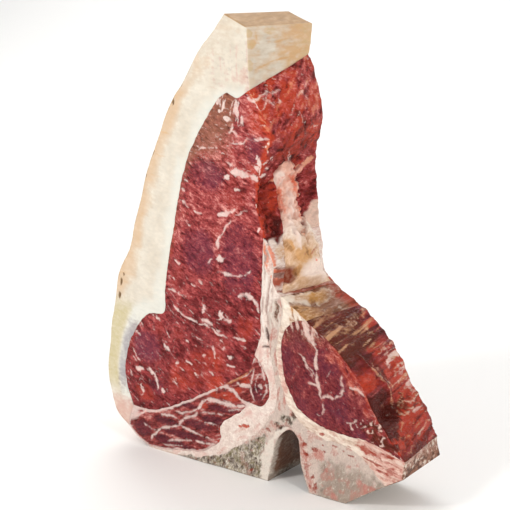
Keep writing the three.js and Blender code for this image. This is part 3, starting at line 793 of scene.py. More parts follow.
# red strands of the torn end
TORN_STRANDS = [(1.5, [(70, 33.5), (80, 30.6), (93, 28.6)]), (1.3, [(74, 29), (84, 26.4), (95, 25.4)]),
                (1.1, [(82, 23.6), (90, 22.6), (95, 22.4)]), (0.9, [(64, 32.4), (70, 30.6)]),
                (1.1, [(84, 33.4), (96, 31.6)]), (0.8, [(88, 24.8), (96, 24.2)])]


def fillet_fat_face(x, z, inside, turned):
    spots = face_spots(x, z, turned)
    wx, wz = wandered(x, z, 0.9, 3)
    torn = smooth(wx, 66, 80)
    strands = rough(grained(spots, -14), (9, 1.3, 2), 51, 2)
    head = smooth(z, 84, 90) * (1 - smooth(x, 44, 52))
    locks = rough(grained(spots, -72), (8, 1.2, 2), 50, 2)
    red = np.maximum(strokes(wx, wz, TORN_STRANDS, 1.0),
                     patches(wx, wz, [(49, 34.4, 1.8, 1), (35, 33.5, 1.1, 2)]))
    flush = patches(wx, wz, [(25.5, 56, 2.4, 8), (23, 68, 1.6, 9)])
    return {
        "relief": 0.4 * smooth(inside, 0, 5) + (0.15 + 0.5 * torn) * strands + 0.5 * head * locks,
        "tone": 0.62 + 0.2 * strands * (1 - head) + 0.25 * head * locks + 0.1 * rough(spots, 3, 52),
        "white": 0.5 * head * smooth(locks, -0.8, 0.2) + 0.5 * smooth(strands, 0.15, 0.6) * (1 - head),
        "pink": np.clip(0.2 + 0.5 * flush + 0.45 * torn + 0.3 * rough(spots, 5, 53), 0, 1) * (1 - head),
        "yellow": 0.5 * patches(wx, wz, [(33, 98, 5, 2.4)]) + 0.35 * head * smooth(-locks, 0, 0.5),
        "brown": 0.3 * head * smooth(-locks, -0.1, 0.5) * smooth(x, 24, 32),
        "red": np.clip(0.85 * red + 0.4 * torn * smooth(-strands, 0, 0.5), 0, 1) * (0.5 if turned else 1),
        "dark": 0.25 * head * smooth(-locks, 0.35, 0.75) * smooth(x, 20, 28),
    }


def fillet_fat_side(x, z, depth):
    spots = joined(x, depth, z)
    wd, wz = wandered(depth, z, 1.0, 4)
    top = smooth(z, 60, 80)
    across = joined(z - 0.1 * depth, depth, x)
    lines = rough(across, (1.3, 10, 50), 54, 2)
    fine = rough(across, (0.7, 6, 50), 55, 2)
    web = webs(across, (1.6, 11, 50), 56)
    from_ledge = off_route(depth, wz, (0, 14, 20, 38), (101.8, 101.6, 101.4, 101.6))
    ledge = smooth(1.5 - from_ledge, -0.7, 0.7) * (1 - 0.7 * smooth(wd, 24, 36)) * top
    under = (1 - smooth(wz - 0.03 * depth, 98.6, 100.6)) * top
    # the lower lip of the crack: brown, with painted shade in it near the cut face
    crack = smooth(wz, 102.9, 103.5) * top
    end = (1 - top) * smooth(x, 80, 95)
    threads = webs(spots, (3, 3, 2.4), 67, 0.45)
    shreds = smooth(rough(spots, (1.4, 2.6, 1.4), 66, 3) + 0.1 * (27 - z), -0.5, 0.7)
    return {
        "tone": 0.58 + 0.3 * lines + 0.1 * fine,
        "white": 0.7 * ledge * smooth(lines, -0.6, 0.2) + 0.35 * web * under + 0.8 * end * threads,
        "pink": 0.35 * smooth(depth, 28, 38) * top + (1 - top) * (0.6 + 0.3 * rough(spots, 4, 60, 2)),
        "yellow": 0.8 * under * (1 - smooth(wd + 3 * lines, 12, 26))
            + ledge * (0.35 + 0.5 * smooth(wd, 12, 20)),
        "brown": under * (0.35 + 0.6 * smooth(wd + 4 * lines, 4, 22)) + crack
            + end * (0.5 + 0.5 * shreds) + top * (1 - ledge) * (1 - under) * 0.8,
        "red": 0.5 * (1 - top) * smooth(-lines, 0.2, 0.7) * smooth(z, 24, 30)
            + top * smooth(depth, 30, 39) * (1 - ledge) * 0.9,
        "dark": 0.5 * under * smooth(-lines - fine, 0.2, 0.9) + 0.6 * crack * (1 - smooth(wd, 18, 28))
            + 0.8 * end * (1 - threads) * smooth(rough(spots, 2.2, 70, 2), 0.0, 0.6)
            * (1 - smooth(z, 27, 33)),
    }


# The same fat, drawn out into fibres where it was torn: cream, with pink, amber and brown threads.
fibrous_fat = tissue(
    "fibrous_fillet_fat", [(0.1, "#A98672"), (0.45, "#CDB5A4"), (0.9, "#E6D9CA")],
    [("pink", "#CB978B", 0.7), ("yellow", "#BC8748", 0.4), ("brown", "#7C4C34", 0.35),
     ("white", "#E6D9CA", 0.5), ("red", "#98392A", 0.6), ("dark", "#4A2A1C", 0.3)],
    grain=0.9, lean=12, stretch=2, spread=0.3, mottle=0.1, gloss=(0.26, 0.5), bump=0.25, film=0.08)
fillet_fat = layer("torn_fillet_fat",
                   "bone_fillet -strand_foot -strand_side -fillet_under fillet_cap -fillet_fat_side",
                   fillet_fat_face, fillet_fat_side, fibrous_fat)
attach(fillet_fat, "root")
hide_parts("fillet_fat")

# Tenderloin
# The small muscle under the bone: dark, fine-grained meat with a branching white seam on the cut
# face. Its long side was pulled off its neighbours by hand, so it is stringy, brown where the air
# dried it near the top and wet and red further down, with a deep crevice across it.
draw("fillet_side", "fillet_fat_top", [(57.5, 81.5), (71.5, 67), (79.5, 54)], "fillet_end", outer=True)
# white seams of the cut face, and the white threads over its torn end
FILLET_SEAMS = [
    (2.6, [(37, 92), (41, 87.5), (44.2, 83.5), (45.6, 79)]),
    (1.9, [(45.6, 79), (46.4, 73), (46.6, 68)]),
    (1.8, [(46.6, 68), (47.2, 62), (48.6, 56.5), (49, 53.5)]),
    (0.9, [(34, 76.5), (38.3, 72.4), (42.8, 68.6), (46.4, 65)]),
    (1.9, [(41.5, 61.4), (44.5, 60.6), (47.6, 60.4)]), (0.7, [(38.4, 72.6), (41.6, 68), (45.2, 63)]),
    (1.4, [(48.6, 53.6), (52.8, 56.2), (57.4, 56.2)]),
    (1.3, [(57.4, 56.2), (61.2, 58.8), (62.2, 62.4)]), (1.0, [(62.2, 62.4), (61, 65), (61.4, 69)]),
    (1.0, [(49.6, 53.4), (50.6, 48.4), (49.2, 44.2)]), (0.7, [(49.2, 44.2), (46, 44)]),
    (1.1, [(64.6, 44.8), (67, 45.3), (67.4, 40)]), (0.8, [(67.2, 45.3), (71.6, 47.2)]),
    (1.0, [(72.4, 43.4), (77, 46.2)]), (1.6, [(66, 64.2), (70, 62.6), (74, 60.4)]),
    (0.5, [(30, 60), (33, 66)]), (0.5, [(52, 66), (55, 71)]), (0.5, [(56, 48), (60, 50.4)]),
]
FILLET_THREADS = [
    (0.7, [(80.4, 46.6), (84, 48), (88, 46.4), (90.4, 43.4)]),
    (0.6, [(84, 48), (83.4, 44), (86, 41.4), (90.4, 43.4)]), (0.6, [(90, 47.4), (94, 48.6), (96, 45)]),
    (0.6, [(90.4, 43.4), (94, 42), (96.4, 38.4)]), (0.6, [(86, 41.4), (85.4, 37.4), (88, 35)]),
    (0.5, [(78, 52), (81, 50.6), (80.4, 46.6)]), (0.7, [(92, 36), (95, 33)]),
]
# strands and folds of the long side: width, then places as depth and height
FILLET_STRANDS = [
    (2.6, [(-2, 86), (12, 87), (26, 89), (46, 91.5)]), (2.0, [(2, 92), (12, 94.5), (22, 95.5)]),
    (0.9, [(20, 82), (32, 83), (46, 85)]), (1.0, [(2, 81), (10, 82), (18, 82)]),
    (1.4, [(24, 73.5), (34, 76), (46, 77)]), (2.6, [(27, 69.5), (34, 71), (42, 71.6)]),
    (1.5, [(27, 63.5), (36, 66), (46, 67.5)]), (0.9, [(20, 58), (28, 60), (40, 61)]),
    (1.2, [(22, 53), (32, 50), (46, 53)]), (1.1, [(19, 43), (30, 42), (46, 46)]),
    (0.9, [(2, 44), (12, 42), (20, 44)]), (1.0, [(6, 39), (18, 37)]), (1.2, [(24, 37), (42, 39.5)]),
    (1.2, [(1, 34), (12, 33), (24, 34)]),
]
FILLET_FOLDS = [(1.5, [(12, 77), (14.4, 67), (19, 57), (22, 47)]),
                (0.9, [(17, 74), (19, 64), (24, 56)]), (0.8, [(9, 57), (15, 51), (20, 46)])]


def torn_end(x, z, depth):
    """The lower end, torn to curls of tan and white over brown and bright red, round its edge"""
    spots = joined(x, z, depth)
    reach = (np.hypot((x - 88 + 0.35 * depth) / 14, (z - 43 - 0.1 * depth) / 9)
             + 0.35 * rough(spots, 5, 64, 2))
    where = 1 - smooth(reach, 0.75, 1.15)
    curls = webs(spots, (3.6, 2.6, 4), 58, 0.4)
    hue = rough(spots, (5, 3, 5), 57, 3)
    return where, curls, hue


def fillet_face(x, z, inside, turned):
    spots = face_spots(x, z, turned)
    wx, wz = wandered(x, z, 1.6 if turned else 0.8, 5)
    seams = strokes(wx, wz, FILLET_SEAMS, 1.5)
    halo = strokes(wx, wz, FILLET_SEAMS, 4)
    torn, curls, hue = torn_end(x, z, 0 * x)
    threads = strokes(wx, wz, FILLET_THREADS)
    flecks = smooth(rough(grained(spots, -35), (1.8, 0.9, 2), 61, 2), 0.5, 1.0)
    bundles = rough(spots, 2.6, 62, 2)
    grain = rough(grained(spots, -50), (5, 1.6, 2), 63, 2)
    margin = (smooth(wx + 0.95 * wz + 4 * rough(spots, 5, 64, 2), 121, 131) * (1 - smooth(wz, 80, 88))
              * (1 - torn))
    crown = smooth(wz - 0.25 * np.abs(x - 34) + 3 * rough(spots, 4, 65, 2), 68, 88)
    locks = smooth(rough(grained(spots, -68), (8, 1.3, 2), 59, 2), -0.1, 0.6)
    low = smooth(wx - 0.3 * wz, 52, 62) * (1 - torn)
    return {
        "relief": 0.9 * smooth(inside, 0, 8) + 0.2 * bundles + 0.25 * seams
            + 0.5 * np.maximum(torn, margin) * grain + 0.7 * torn * curls + 0.5 * threads,
        "tone": 0.45 + 0.18 * bundles + 0.3 * margin * grain + 0.14 * (halo - seams) + 0.2 * crown
            + 0.28 * margin + 0.1 * torn * hue,
        "fat": 0.9 * seams + (0.3 + 0.5 * low) * flecks * (1 - torn) + 0.8 * threads + 0.9 * torn * curls
            + (0.15 + 0.55 * smooth(z, 82, 91)) * crown * locks,
        "tan": 0.35 * crown * locks + 0.7 * torn * curls + 0.35 * margin * smooth(grain, 0.2, 0.7)
            + 0.4 * torn * smooth(hue, 0.3, 0.7),
        "brown": 0.6 * crown + 0.85 * torn * smooth(-hue, -0.35, 0.15),
        "red": 0.65 * margin * (0.75 + 0.6 * grain) + torn * (0.35 + 0.65 * smooth(x, 86, 94))
            * smooth(hue + grain, -0.4, 0.5),
        "violet": (0.35 + 0.4 * rough(spots, 9, 69)) * (1 - margin) * (1 - torn),
        "dark": 0.8 * torn * smooth(-hue, 0.2, 0.7) + 0.5 * margin * smooth(-grain, 0.2, 0.7),
        "wet": 0.4 * smooth(rough(spots, 5, 68), 0, 0.6) + 0.4 * margin,
    }


def fillet_side(x, z, depth):
    across = joined(z - 0.16 * depth, depth, x)
    wd, wz = wandered(depth, z, 1.3, 6)
    strands = strokes(wd, wz, FILLET_STRANDS, 1.6)
    folds = strokes(wd, wz, FILLET_FOLDS, 1.6)
    # painted shadows: dark lines beside the folds
    fold_shadows = strokes(wd - 1.8, wz - 0.6, FILLET_FOLDS, 2.2)
    fibres = rough(across, (1.8, 22, 80), 71, 2)
    fine = rough(across, (0.8, 12, 80), 72, 2)
    wide = rough(across, (5, 16, 80), 73)
    film = webs(across, (1.8, 26, 80), 74, 0.3)
    high = smooth(wz - 0.1 * depth + 3 * wide, 68, 79)
    # the crevice across the side: brown, with painted shade in it
    crevice = np.clip(patches(wd, wz, [(6, 53, 13, 8), (15, 50, 8, 5), (4, 46, 9, 5)]) - 0.4 * folds, 0, 1)
    # painted shade: the hollows among the strands are darker
    hollow = patches(wd, wz, [(14, 74, 9, 3.5), (5, 72, 5, 3), (18, 67, 4, 5)])
    roll = patches(wd, wz, [(4.5, 65, 6.5, 3.6)])
    torn, curls, hue = torn_end(x, z, depth)
    torn = torn * (1 - 0.8 * crevice)
    end = (1 - smooth(wz + 0.05 * depth, 31, 36)) * (1 - torn)
    low = (1 - smooth(wz, 46, 54)) * (1 - smooth(depth, 26, 34))
    far = smooth(depth + 4 * wide, 17, 28) * (1 - end)
    bright = patches(wd, wz, [(31, 40, 8, 7), (34, 58, 9, 8), (36, 86, 6, 8), (24, 62, 5, 6),
                              (36, 70, 6, 6), (27, 77, 7, 3), (14, 38, 5, 3)])
    # painted highlights: light patches where the wet strands of the far part catch the light
    pale_highlights = patches(wd, wz, [(35, 72.5, 6, 2), (39, 57, 4, 3), (35, 46, 7, 1.8), (38, 64, 5, 1.3),
                              (29, 69, 4, 1.4)])
    return {
        "tone": 0.32 + 0.3 * fibres + 0.26 * fine + 0.1 * far + 0.12 * roll - 0.2 * hollow - 0.3 * low,
        "fat": np.clip(0.45 * strands * (0.75 + 0.6 * fibres) * (0.3 + 0.7 * far) + 0.3 * folds
                       + 0.35 * film * far + 0.55 * pale_highlights * smooth(fine + fibres, -0.6, 0.4)
                       + 0.2 * torn * curls, 0, 0.9),
        "tan": high * (1 - 0.7 * smooth(depth, 28, 38))
            * np.maximum(0.7 * film, 0.65 * smooth(fibres + 0.6 * fine, 0.35, 1.0)) + 0.5 * strands
            + 0.35 * film * far + 0.7 * folds + 0.5 * torn * curls
            + 0.4 * bright * smooth(fine + fibres, 0.5, 1.1),
        "brown": 0.95 * high * (1 - 0.75 * smooth(depth + 4 * fibres, 26, 38)) + 0.6 * end
            + 0.6 * torn * smooth(-hue, -0.2, 0.3) + 0.5 * crevice,
        "red": 0.45 * (1 - high) * (1 - crevice) + 0.6 * roll
            + 0.65 * bright * smooth(fibres + fine, -0.7, 0.5) + 0.3 * far * smooth(fibres, -0.1, 0.5)
            + torn * smooth(hue, -0.3, 0.2),
        "dark": crevice * (1.0 - 0.5 * smooth(fine, 0.1, 0.8)) + 0.45 * smooth(-fine - fibres, 0.35, 1.1)
            + 0.4 * hollow + 0.5 * low * smooth(-hue, -0.3, 0.4) + 0.55 * fold_shadows * (1 - folds),
        "wet": 0.3 + roll + 0.5 * (1 - high),
    }


THIN_FAT = "#DFBFAE"        # a thin sheet of fat over red meat
WET_GLOSS = 0.16            # how much less rough wet meat is


def muscle(name, shades, fat, tan, brown, red, violet, dark, grain, lean, through):
    """Raw red meat, cut: tissue whose masks are its fat, its dried tan and brown, its bright wet red
    and the painted shade of its crevices, with wetter and drier places. In places the tan, fat and red
    are painted highlights."""
    coats = [("red", red, 0.7), ("violet", violet, 0.6), ("brown", brown, 0.5), ("tan", tan, 0.8),
             ("dark", dark, 0.25), ("fat", fat, 0.7), ("sheet", THIN_FAT, 0.1)]
    material = tissue(name, shades, coats, grain=grain, lean=lean, stretch=1.8, through=through,
                      spread=0.34, mottle=0.2, gloss=(0.22, 0.5), bump=0.6, film=0.14)
    tree = material.node_tree
    shader = tree.nodes["Principled BSDF"]
    rough_link = shader.inputs["Roughness"].links[0].from_socket
    wet = node(tree, "ShaderNodeAttribute", {"attribute_name": "wet"}).outputs["Fac"]
    gloss = node(tree, "ShaderNodeMath", {"operation": "MULTIPLY_ADD", 1: -WET_GLOSS},
                 {0: wet, 2: rough_link}).outputs[0]
    tree.links.new(gloss, shader.inputs["Roughness"])
    return material


# Fine-grained raw beef: purple-red inside the cut, brighter at its edge, with a moist gloss.
tender_meat = muscle(
    "raw_tenderloin", [(0.02, "#3F0C10"), (0.35, "#6B2228"), (0.65, "#8C3B3C"), (1.0, "#C07A6C")],
    fat="#E6C9BE", tan="#C9966F", brown="#5A2414", red="#B03A25", violet="#66283A",
    dark="#4C140C", grain=0.85, lean=35, through=4)
tenderloin = layer("tender_muscle", "fillet_under -fillet_side -fillet_cap",
                   fillet_face, fillet_side, tender_meat)
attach(tenderloin, "root")
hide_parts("tenderloin")

# Strip loin
# The large muscle of the steak, cut across its grain: red meat with white marbling that leans with
# the muscle, larger streaks where sheets of fat pass between its bundles, and a brown upper tip
# that dried in the air. Its right side was torn along a seam and is dark and wet.
corner.update({
    "loin_top": (3.5, 208, 17),
    "loin_heel": (-80, 23),
    "chine_fork": (-1.5, 56.5),
})
draw("loin_side", "loin_top", [(11, 196.5), (16.5, 185), (10, 166), (8.5, 150)], "seam_top", outer=True)
draw("loin_fat", "loin_top",
     [(-5, 203.5), (-12, 205.5), (-22, 196), (-39, 167), (-48.5, 130), (-55, 97), (-56, 82), (-68, 79),
      (-84, 55), (-85, 37)], "loin_heel", ragged=0.3)
draw("loin_chine", "loin_heel", [(-68, 22.5), (-56.5, 26.5), (-34.5, 37)], "chine_fork", ragged=0.4)
draw("loin_fork", "chine_fork", [(3.5, 61)], "seam_fork")
# streaks and flecks of white fat in the cut face
LOIN_STREAKS = [
    (1.2, [(-7, 191), (-7.4, 187), (-9.2, 185)]), (0.9, [(-7.4, 187), (-4, 185)]),
    (2.2, [(1.5, 203.5), (7, 201.5)]), (2.0, [(7, 201.5), (9.5, 198)]),
    (0.7, [(-9, 180), (-1, 181), (4, 184)]), (0.9, [(5, 181), (11, 184), (15, 185)]),
    (0.9, [(-30, 175.3), (-24, 177), (-20, 177.3)]), (0.7, [(-20, 177), (-17, 176)]),
    (3.8, [(-8, 165.5), (-2, 164.5), (4, 164.5)]), (3.0, [(-10, 163), (-12.5, 160.5)]),
    (1.6, [(-11, 169.3), (-7, 168)]), (2.4, [(4, 165), (9, 162.5)]),
    (1.5, [(10, 169), (13, 167), (15, 165)]), (1.2, [(14.5, 178), (16.5, 172)]),
    (1.0, [(-44, 146.2), (-40, 145), (-35.5, 143)]), (1.0, [(-33, 142.5), (-27.5, 141.2)]),
    (2.4, [(-17, 142), (-13, 142), (-9, 144.3)]), (1.2, [(-9, 144.3), (-5.5, 146)]),
    (1.0, [(-6, 143.5), (1.5, 146)]), (1.0, [(-7.5, 139.5), (-11.5, 136), (-15, 131.5)]),
    (1.8, [(-15.5, 131), (-17, 127), (-16.6, 123.5)]), (1.0, [(-39, 137.5), (-35.5, 134)]),
    (4.2, [(-18, 118), (-13.5, 119)]), (1.3, [(-25, 114.2), (-20, 117)]),
    (1.0, [(-16, 111), (-11, 110.2), (-5, 110.8), (0, 112)]), (0.9, [(0, 112), (4.5, 115)]),
    (1.4, [(-47, 113.7), (-43, 111.8)]), (0.9, [(-52, 104), (-46, 101.8)]),
    (1.1, [(-54, 96), (-49, 96), (-45, 95)]), (0.9, [(-45, 95), (-39, 93.5)]),
    (1.2, [(-36.5, 101.5), (-32, 100.5)]), (0.9, [(-31, 105), (-27.5, 102)]),
    (1.5, [(-3.5, 99.5), (1, 101.5)]), (2.6, [(1, 101.5), (5.5, 100.5)]),
    (1.6, [(5.5, 100.5), (8, 97), (9, 93)]), (1.7, [(-48.5, 86.5), (-44, 84)]),
    (1.3, [(-44, 84), (-37, 81.8), (-31, 80.7)]), (0.9, [(-31, 80.7), (-22, 79.8)]),
    (1.1, [(-22, 79.8), (-17, 77), (-10.5, 75.3)]), (1.3, [(-7, 76.3), (1, 76)]),
    (1.7, [(-27.5, 82.5), (-20.5, 81.5)]), (4.6, [(-17.5, 88.3), (-14, 87.5)]),
    (2.4, [(-13, 86.5), (-9, 84.5)]), (1.5, [(-26.5, 91.5), (-26.8, 86)]),
    (1.2, [(-40, 158), (-36.5, 157)]), (1.6, [(-42.5, 152.2), (-40, 151.6)]),
    (1.3, [(-6, 156.5), (-2, 157)]), (1.5, [(-77.5, 68), (-72.5, 65)]),
    (2.2, [(-56.5, 64), (-50.5, 62)]), (1.1, [(-40, 69.5), (-37.5, 68)]),
    (1.4, [(-28, 63.3), (-25.5, 63)]), (1.0, [(-20.5, 70), (-18.5, 62)]),
    (1.6, [(-12, 65.3), (-8.5, 64)]), (1.4, [(-11.5, 60.5), (-7, 59.5)]),
    (1.3, [(-79, 56.5), (-75.5, 53.6)]), (1.2, [(-75.5, 53.6), (-73, 51)]),
    (2.4, [(-76, 47.5), (-71, 46)]), (1.6, [(-68, 48), (-64.5, 45.2)]),
    (1.1, [(-64.5, 45.2), (-61, 41), (-61.3, 36)]), (1.8, [(-58.5, 37.2), (-55, 36)]),
    (1.3, [(-47, 55.2), (-44, 56)]), (1.2, [(-40, 58), (-35.5, 56)]), (2.0, [(-33.5, 51), (-31, 50.6)]),
    (1.4, [(-22.5, 54), (-20, 53.4)]), (1.0, [(-81.5, 44.5), (-80, 40)]),
    (0.9, [(-72, 38.5), (-72.3, 31)]), (1.2, [(-62, 78), (-58, 77)]), (1.1, [(-32, 72), (-28, 70)]),
]
# white patches: flecks of fat at the top left, and painted highlights, wet glints, along the right edge
LOIN_FLECKS_AND_GLINTS = [(-17.5, 201.5, 0.9, 2.4), (-14, 199.5, 0.9, 2.6), (-10.5, 193, 2.2, 1.6),
               (-16, 196.5, 1.2, 1), (14.8, 182.3, 1.1, 1), (13.2, 179.6, 0.9, 0.7),
               (9.6, 171.5, 0.9, 2.8), (7.4, 168.8, 1.8, 1.2), (9.8, 167, 0.8, 1.6),
               (8.4, 174.6, 0.5, 1.6), (8.8, 148.5, 0.8, 1.2), (8.8, 136, 0.9, 1), (-4.5, 197, 1, 2.5)]


def loin_face(x, z, inside, turned):
    spots = face_spots(x, z, turned)
    wx, wz = wandered(x, z, 2.2 if turned else 1.0, 7)
    # fat drawn in lines and patches, with the painted highlights of the white patches among them
    streaks_and_glints = np.maximum(strokes(wx, wz, LOIN_STREAKS, 1.7), patches(wx, wz, LOIN_FLECKS_AND_GLINTS))
    low = 1 - smooth(wz, 88, 130)
    high = smooth(wz, 150, 178)
    leaning = grained(spots, -36)
    level = grained(spots, -10)
    wrinkles = rough(grained(spots, -24), (2.8, 1.1, 2), 81, 2)
    flecks = smooth(rough(leaning, (4.6, 1.5, 2), 82, 3), 0.3, 1.0) * (0.15 + 0.85 * low)
    specks = smooth(rough(level, (3.4, 0.9, 2), 83, 2), 0.25, 0.95) * (0.2 + 0.8 * high)
    film = np.maximum(webs(leaning, (7, 2.4, 2), 87) * (0.3 + 0.5 * low),
                      webs(level, (6, 2, 2), 88) * (0.2 + 0.7 * high))
    bundles = rough(leaning, (6, 3.4, 3), 84, 2)
    patchy = rough(spots, 15, 85, 2)
    tip = smooth(wz - 0.5 * wx + 3 * patchy, 180, 204) * (1 - smooth(wx, -9, -3))
    left_edge = (1 - smooth(inside, 1, 5)) * smooth(-x, 16, 22) * smooth(z, 90, 130)
    right = smooth(wx + 0.1 * wz + 3 * wrinkles, 15, 26) * smooth(wz, 150, 172)
    # along the right edge of the face: the red of the meat, and higher up a tan painted highlight along
    # the cut corner
    rim = smooth(wx - np.interp(wz, (130, 150, 166, 185, 197, 208), (12, 8, 9.5, 16, 10.5, 3)), -2.6, -0.6)
    frill = patches(wx, wz, [(-6, 199, 3.4, 5), (-3, 192, 3, 4), (-14, 201, 3, 4)])
    frill = frill * smooth(rough(grained(spots, 80), (5, 1.0, 2), 86, 2), -0.1, 0.5)
    red_low = patches(wx, wz, [(-38, 50, 17, 9), (-27, 60, 12, 8), (-20, 48, 9, 5), (0, 82, 6, 9),
                               (-70, 33, 9, 6), (-50, 130, 3, 20), (-5, 104, 5, 4)])
    violet = patches(wx, wz, [(-68, 60, 11, 10), (-3, 118, 13, 22), (-24, 162, 13, 9), (-62, 38, 6, 5),
                              (-30, 120, 12, 14), (6, 178, 5, 8)])
    return {
        "relief": 1.0 * smooth(inside, 0, 10) + 0.2 * bundles + 0.26 * wrinkles + 0.16 * streaks_and_glints,
        "tone": np.clip(0.52 + 0.16 * patchy + (0.24 - 0.1 * low) * wrinkles + 0.16 * bundles
                        + 0.05 * high - 0.14 * low, 0.03, 1),
        "fat": np.clip(np.maximum(np.maximum(streaks_and_glints, 0.8 * frill),
                                  np.maximum(0.62 * flecks, 0.6 * specks) * (1 - 0.5 * violet))
                       + 0.45 * film, 0, 0.95),
        "tan": 0.35 * tip * smooth(wrinkles, 0.0, 0.6) + 0.6 * rim * high * smooth(wrinkles, -0.2, 0.4),
        "brown": 0.8 * tip + 0.4 * left_edge + 0.35 * high * (1 - smooth(wx, -14, -2)),
        "red": 0.5 * red_low * (0.8 + 0.4 * bundles) + 0.35 * right + 0.6 * rim * smooth(wz, 128, 136)
            + 0.3 * smooth(patchy, 0.1, 0.6),
        "violet": violet * (0.6 + 0.25 * patchy),
        "dark": (0.5 - 0.25 * low) * smooth(-wrinkles, 0.3, 0.85) * (1 - streaks_and_glints)
            + 0.3 * low * smooth(-bundles, 0.2, 0.7),
        "wet": 0.4 + 0.3 * smooth(patchy, 0, 0.5),
    }


# on the right side, as depth and height: strands, the sinew's branch and whitish painted highlights
LOIN_SIDE_STRANDS = [(1.6, [(-2, 203.5), (7, 203), (15, 201)]), (0.9, [(3, 203), (6, 198), (14, 196)]),
                     (0.9, [(-1, 196), (6, 201), (12, 206)]), (1.0, [(16, 178), (20, 171), (22, 166)]),
                     (0.8, [(28, 186), (40, 184)]), (0.8, [(14, 192), (24, 196), (34, 197)])]
SINEW_BRANCH = [(5.4, [(11, 160.5), (25, 164), (39, 170)])]
LOIN_SIDE_GLINTS = [(1.6, 171, 1.8, 2.2), (4.4, 167.5, 1.6, 0.8), (0.8, 177, 0.9, 2), (3, 164.5, 3, 0.9),
                  (3.6, 173.4, 0.7, 1.6)]


def loin_side(x, z, depth):
    wd, wz = wandered(depth, z, 1.4, 8)
    spots = joined(x, depth, z)
    strands = strokes(wd, wz, LOIN_SIDE_STRANDS)
    branch = strokes(wd, wz, SINEW_BRANCH, 1.8)
    # painted highlights: whitish flecks near the cut edge, laid in the colour of fat
    painted_glints = patches(wd, wz, LOIN_SIDE_GLINTS)
    leaning = joined(z - 0.6 * depth, depth + 0.6 * z, x)
    fibres = rough(leaning, (2.2, 6, 9), 91, 3)
    fine = rough(leaning, (1.0, 2.4, 9), 92, 2)
    film = webs(leaning, (2.6, 6, 9), 93)
    blotch = rough(spots, 6, 94, 2)
    # painted shade: the hollow beside the sinew is darker, over a deeper red of the meat
    recess = patches(wd, wz, [(5, 150, 9, 12), (8, 139, 7, 9)])
    waist = patches(wd, wz, [(24, 181, 15, 7), (14, 176, 8, 5), (20, 172, 6, 5)])
    # painted shade: the slit and the clefts cut into the side, and patches in its crevices, are painted
    # very dark
    slit = strokes(wd, wz, [(2.0, [(25.4, 127), (26.8, 134), (29, 144)]),
                            (1.2, [(31, 158), (31, 148), (29, 140)])])
    clefts = strokes(wd, wz, [(1.6, [(9, 208), (10.5, 200), (9.5, 193)]), (1.0, [(16, 209), (17, 204)]),
                              (1.8, [(12, 174), (16, 168), (13, 164)]),
                              (1.4, [(22, 190), (26, 184), (34, 181)])], 1.8)
    crevice_shadows = patches(wd, wz, [(9, 134, 5, 4.5), (12, 141, 3, 4), (15, 169, 3, 3.4)])
    violet = patches(wd, wz, [(4.5, 181, 4, 6), (5, 190, 2.4, 5)])
    # painted light: the upper part of the side is lighter, and its tan there is painted highlights on the
    # fibres and films
    lit = smooth(z, 178, 192) * (1 - 0.25 * smooth(depth, 24, 36))
    # along the cut edge: the red of the meat, brightened as a painted highlight on the edge
    ridge = 1 - smooth(wd + 1.2 * fine, 0.6, 3)
    fat = 1 - side_flesh(depth, z)
    # painted highlights: bright orange-red patches where the wet side catches the light
    red_highlights = patches(wd, wz, [(13.5, 152, 2.6, 9), (12, 163, 3, 3), (34, 185, 6, 4), (38, 178, 3, 4),
                            (30, 168, 6, 2)])
    return {
        "tone": 0.38 + 0.3 * fibres + 0.28 * fine + 0.24 * lit - 0.25 * recess - 0.2 * waist,
        "fat": np.maximum(0.7 * strands, 0.9 * painted_glints * smooth(fine, -0.3, 0.3))
            + 0.55 * film * (0.3 + 0.7 * lit) + 0.25 * branch * smooth(fibres, -0.8, 0),
        "sheet": fat * smooth(depth, 12, 16) * (1.05 - 0.3 * smooth(-fibres, 0, 0.6)) + 0.25 * branch,
        "tan": 1.2 * branch + 0.4 * strands + lit * (0.6 * smooth(fine + fibres, 0.2, 1.1) + 0.35 * film),
        "red": 0.25 + 0.6 * lit * smooth(fibres + blotch, -0.9, 0.5)
            + 0.9 * ridge * smooth(fine, -0.7, 0.2) + 0.5 * red_highlights * smooth(fine, -0.7, 0.7)
            + 0.25 * recess + 0.35 * waist,
        "violet": 0.35 * violet,
        "dark": 0.45 * recess * smooth(-fine - 0.5 * fibres, -0.3, 0.6) + 0.8 * crevice_shadows
            + 0.5 * waist * smooth(-fibres, -0.3, 0.4) + 0.9 * slit + 0.55 * clefts
            + 0.6 * smooth(-fibres - fine, 0.35, 1.0),
        "wet": 0.9,
    }


# Raw beef cut across the grain: a mosaic of small bundles, rose to purple-red, moist and glossy.
loin_meat = muscle(
    "raw_strip_loin", [(0.02, "#4E0D0F"), (0.35, "#7C292B"), (0.65, "#A64746"), (1.0, "#D28C84")],
    fat="#ECD4CC", tan="#E0926C", brown="#8E5A48", red="#B93D24", violet="#6E2E40",
    dark="#3F0805", grain=0.9, lean=24, through=1.8)
strip_loin = layer("loin_muscle", "loin_fat loin_chine loin_fork loin_seam -loin_side",
                   loin_face, loin_side, loin_meat)
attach(strip_loin, "root")
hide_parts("strip_loin")

# Chine muscles
# The small muscles that lie along the foot of the bone: long bundles of dark red meat, each in a
# white sleeve, and a round one beside the finger bone with a curl of white in it.
corner["rim"] = (-84, 10, -129)
draw("fat_tail", "loin_heel", [(-82.5, 17)], "rim")
draw("muscle_rim", "fat_foot", [(-77, 4)], "rim", outer=True)
draw("chine_split", "chine_fork", [(2.5, 50)], "chine_heel")
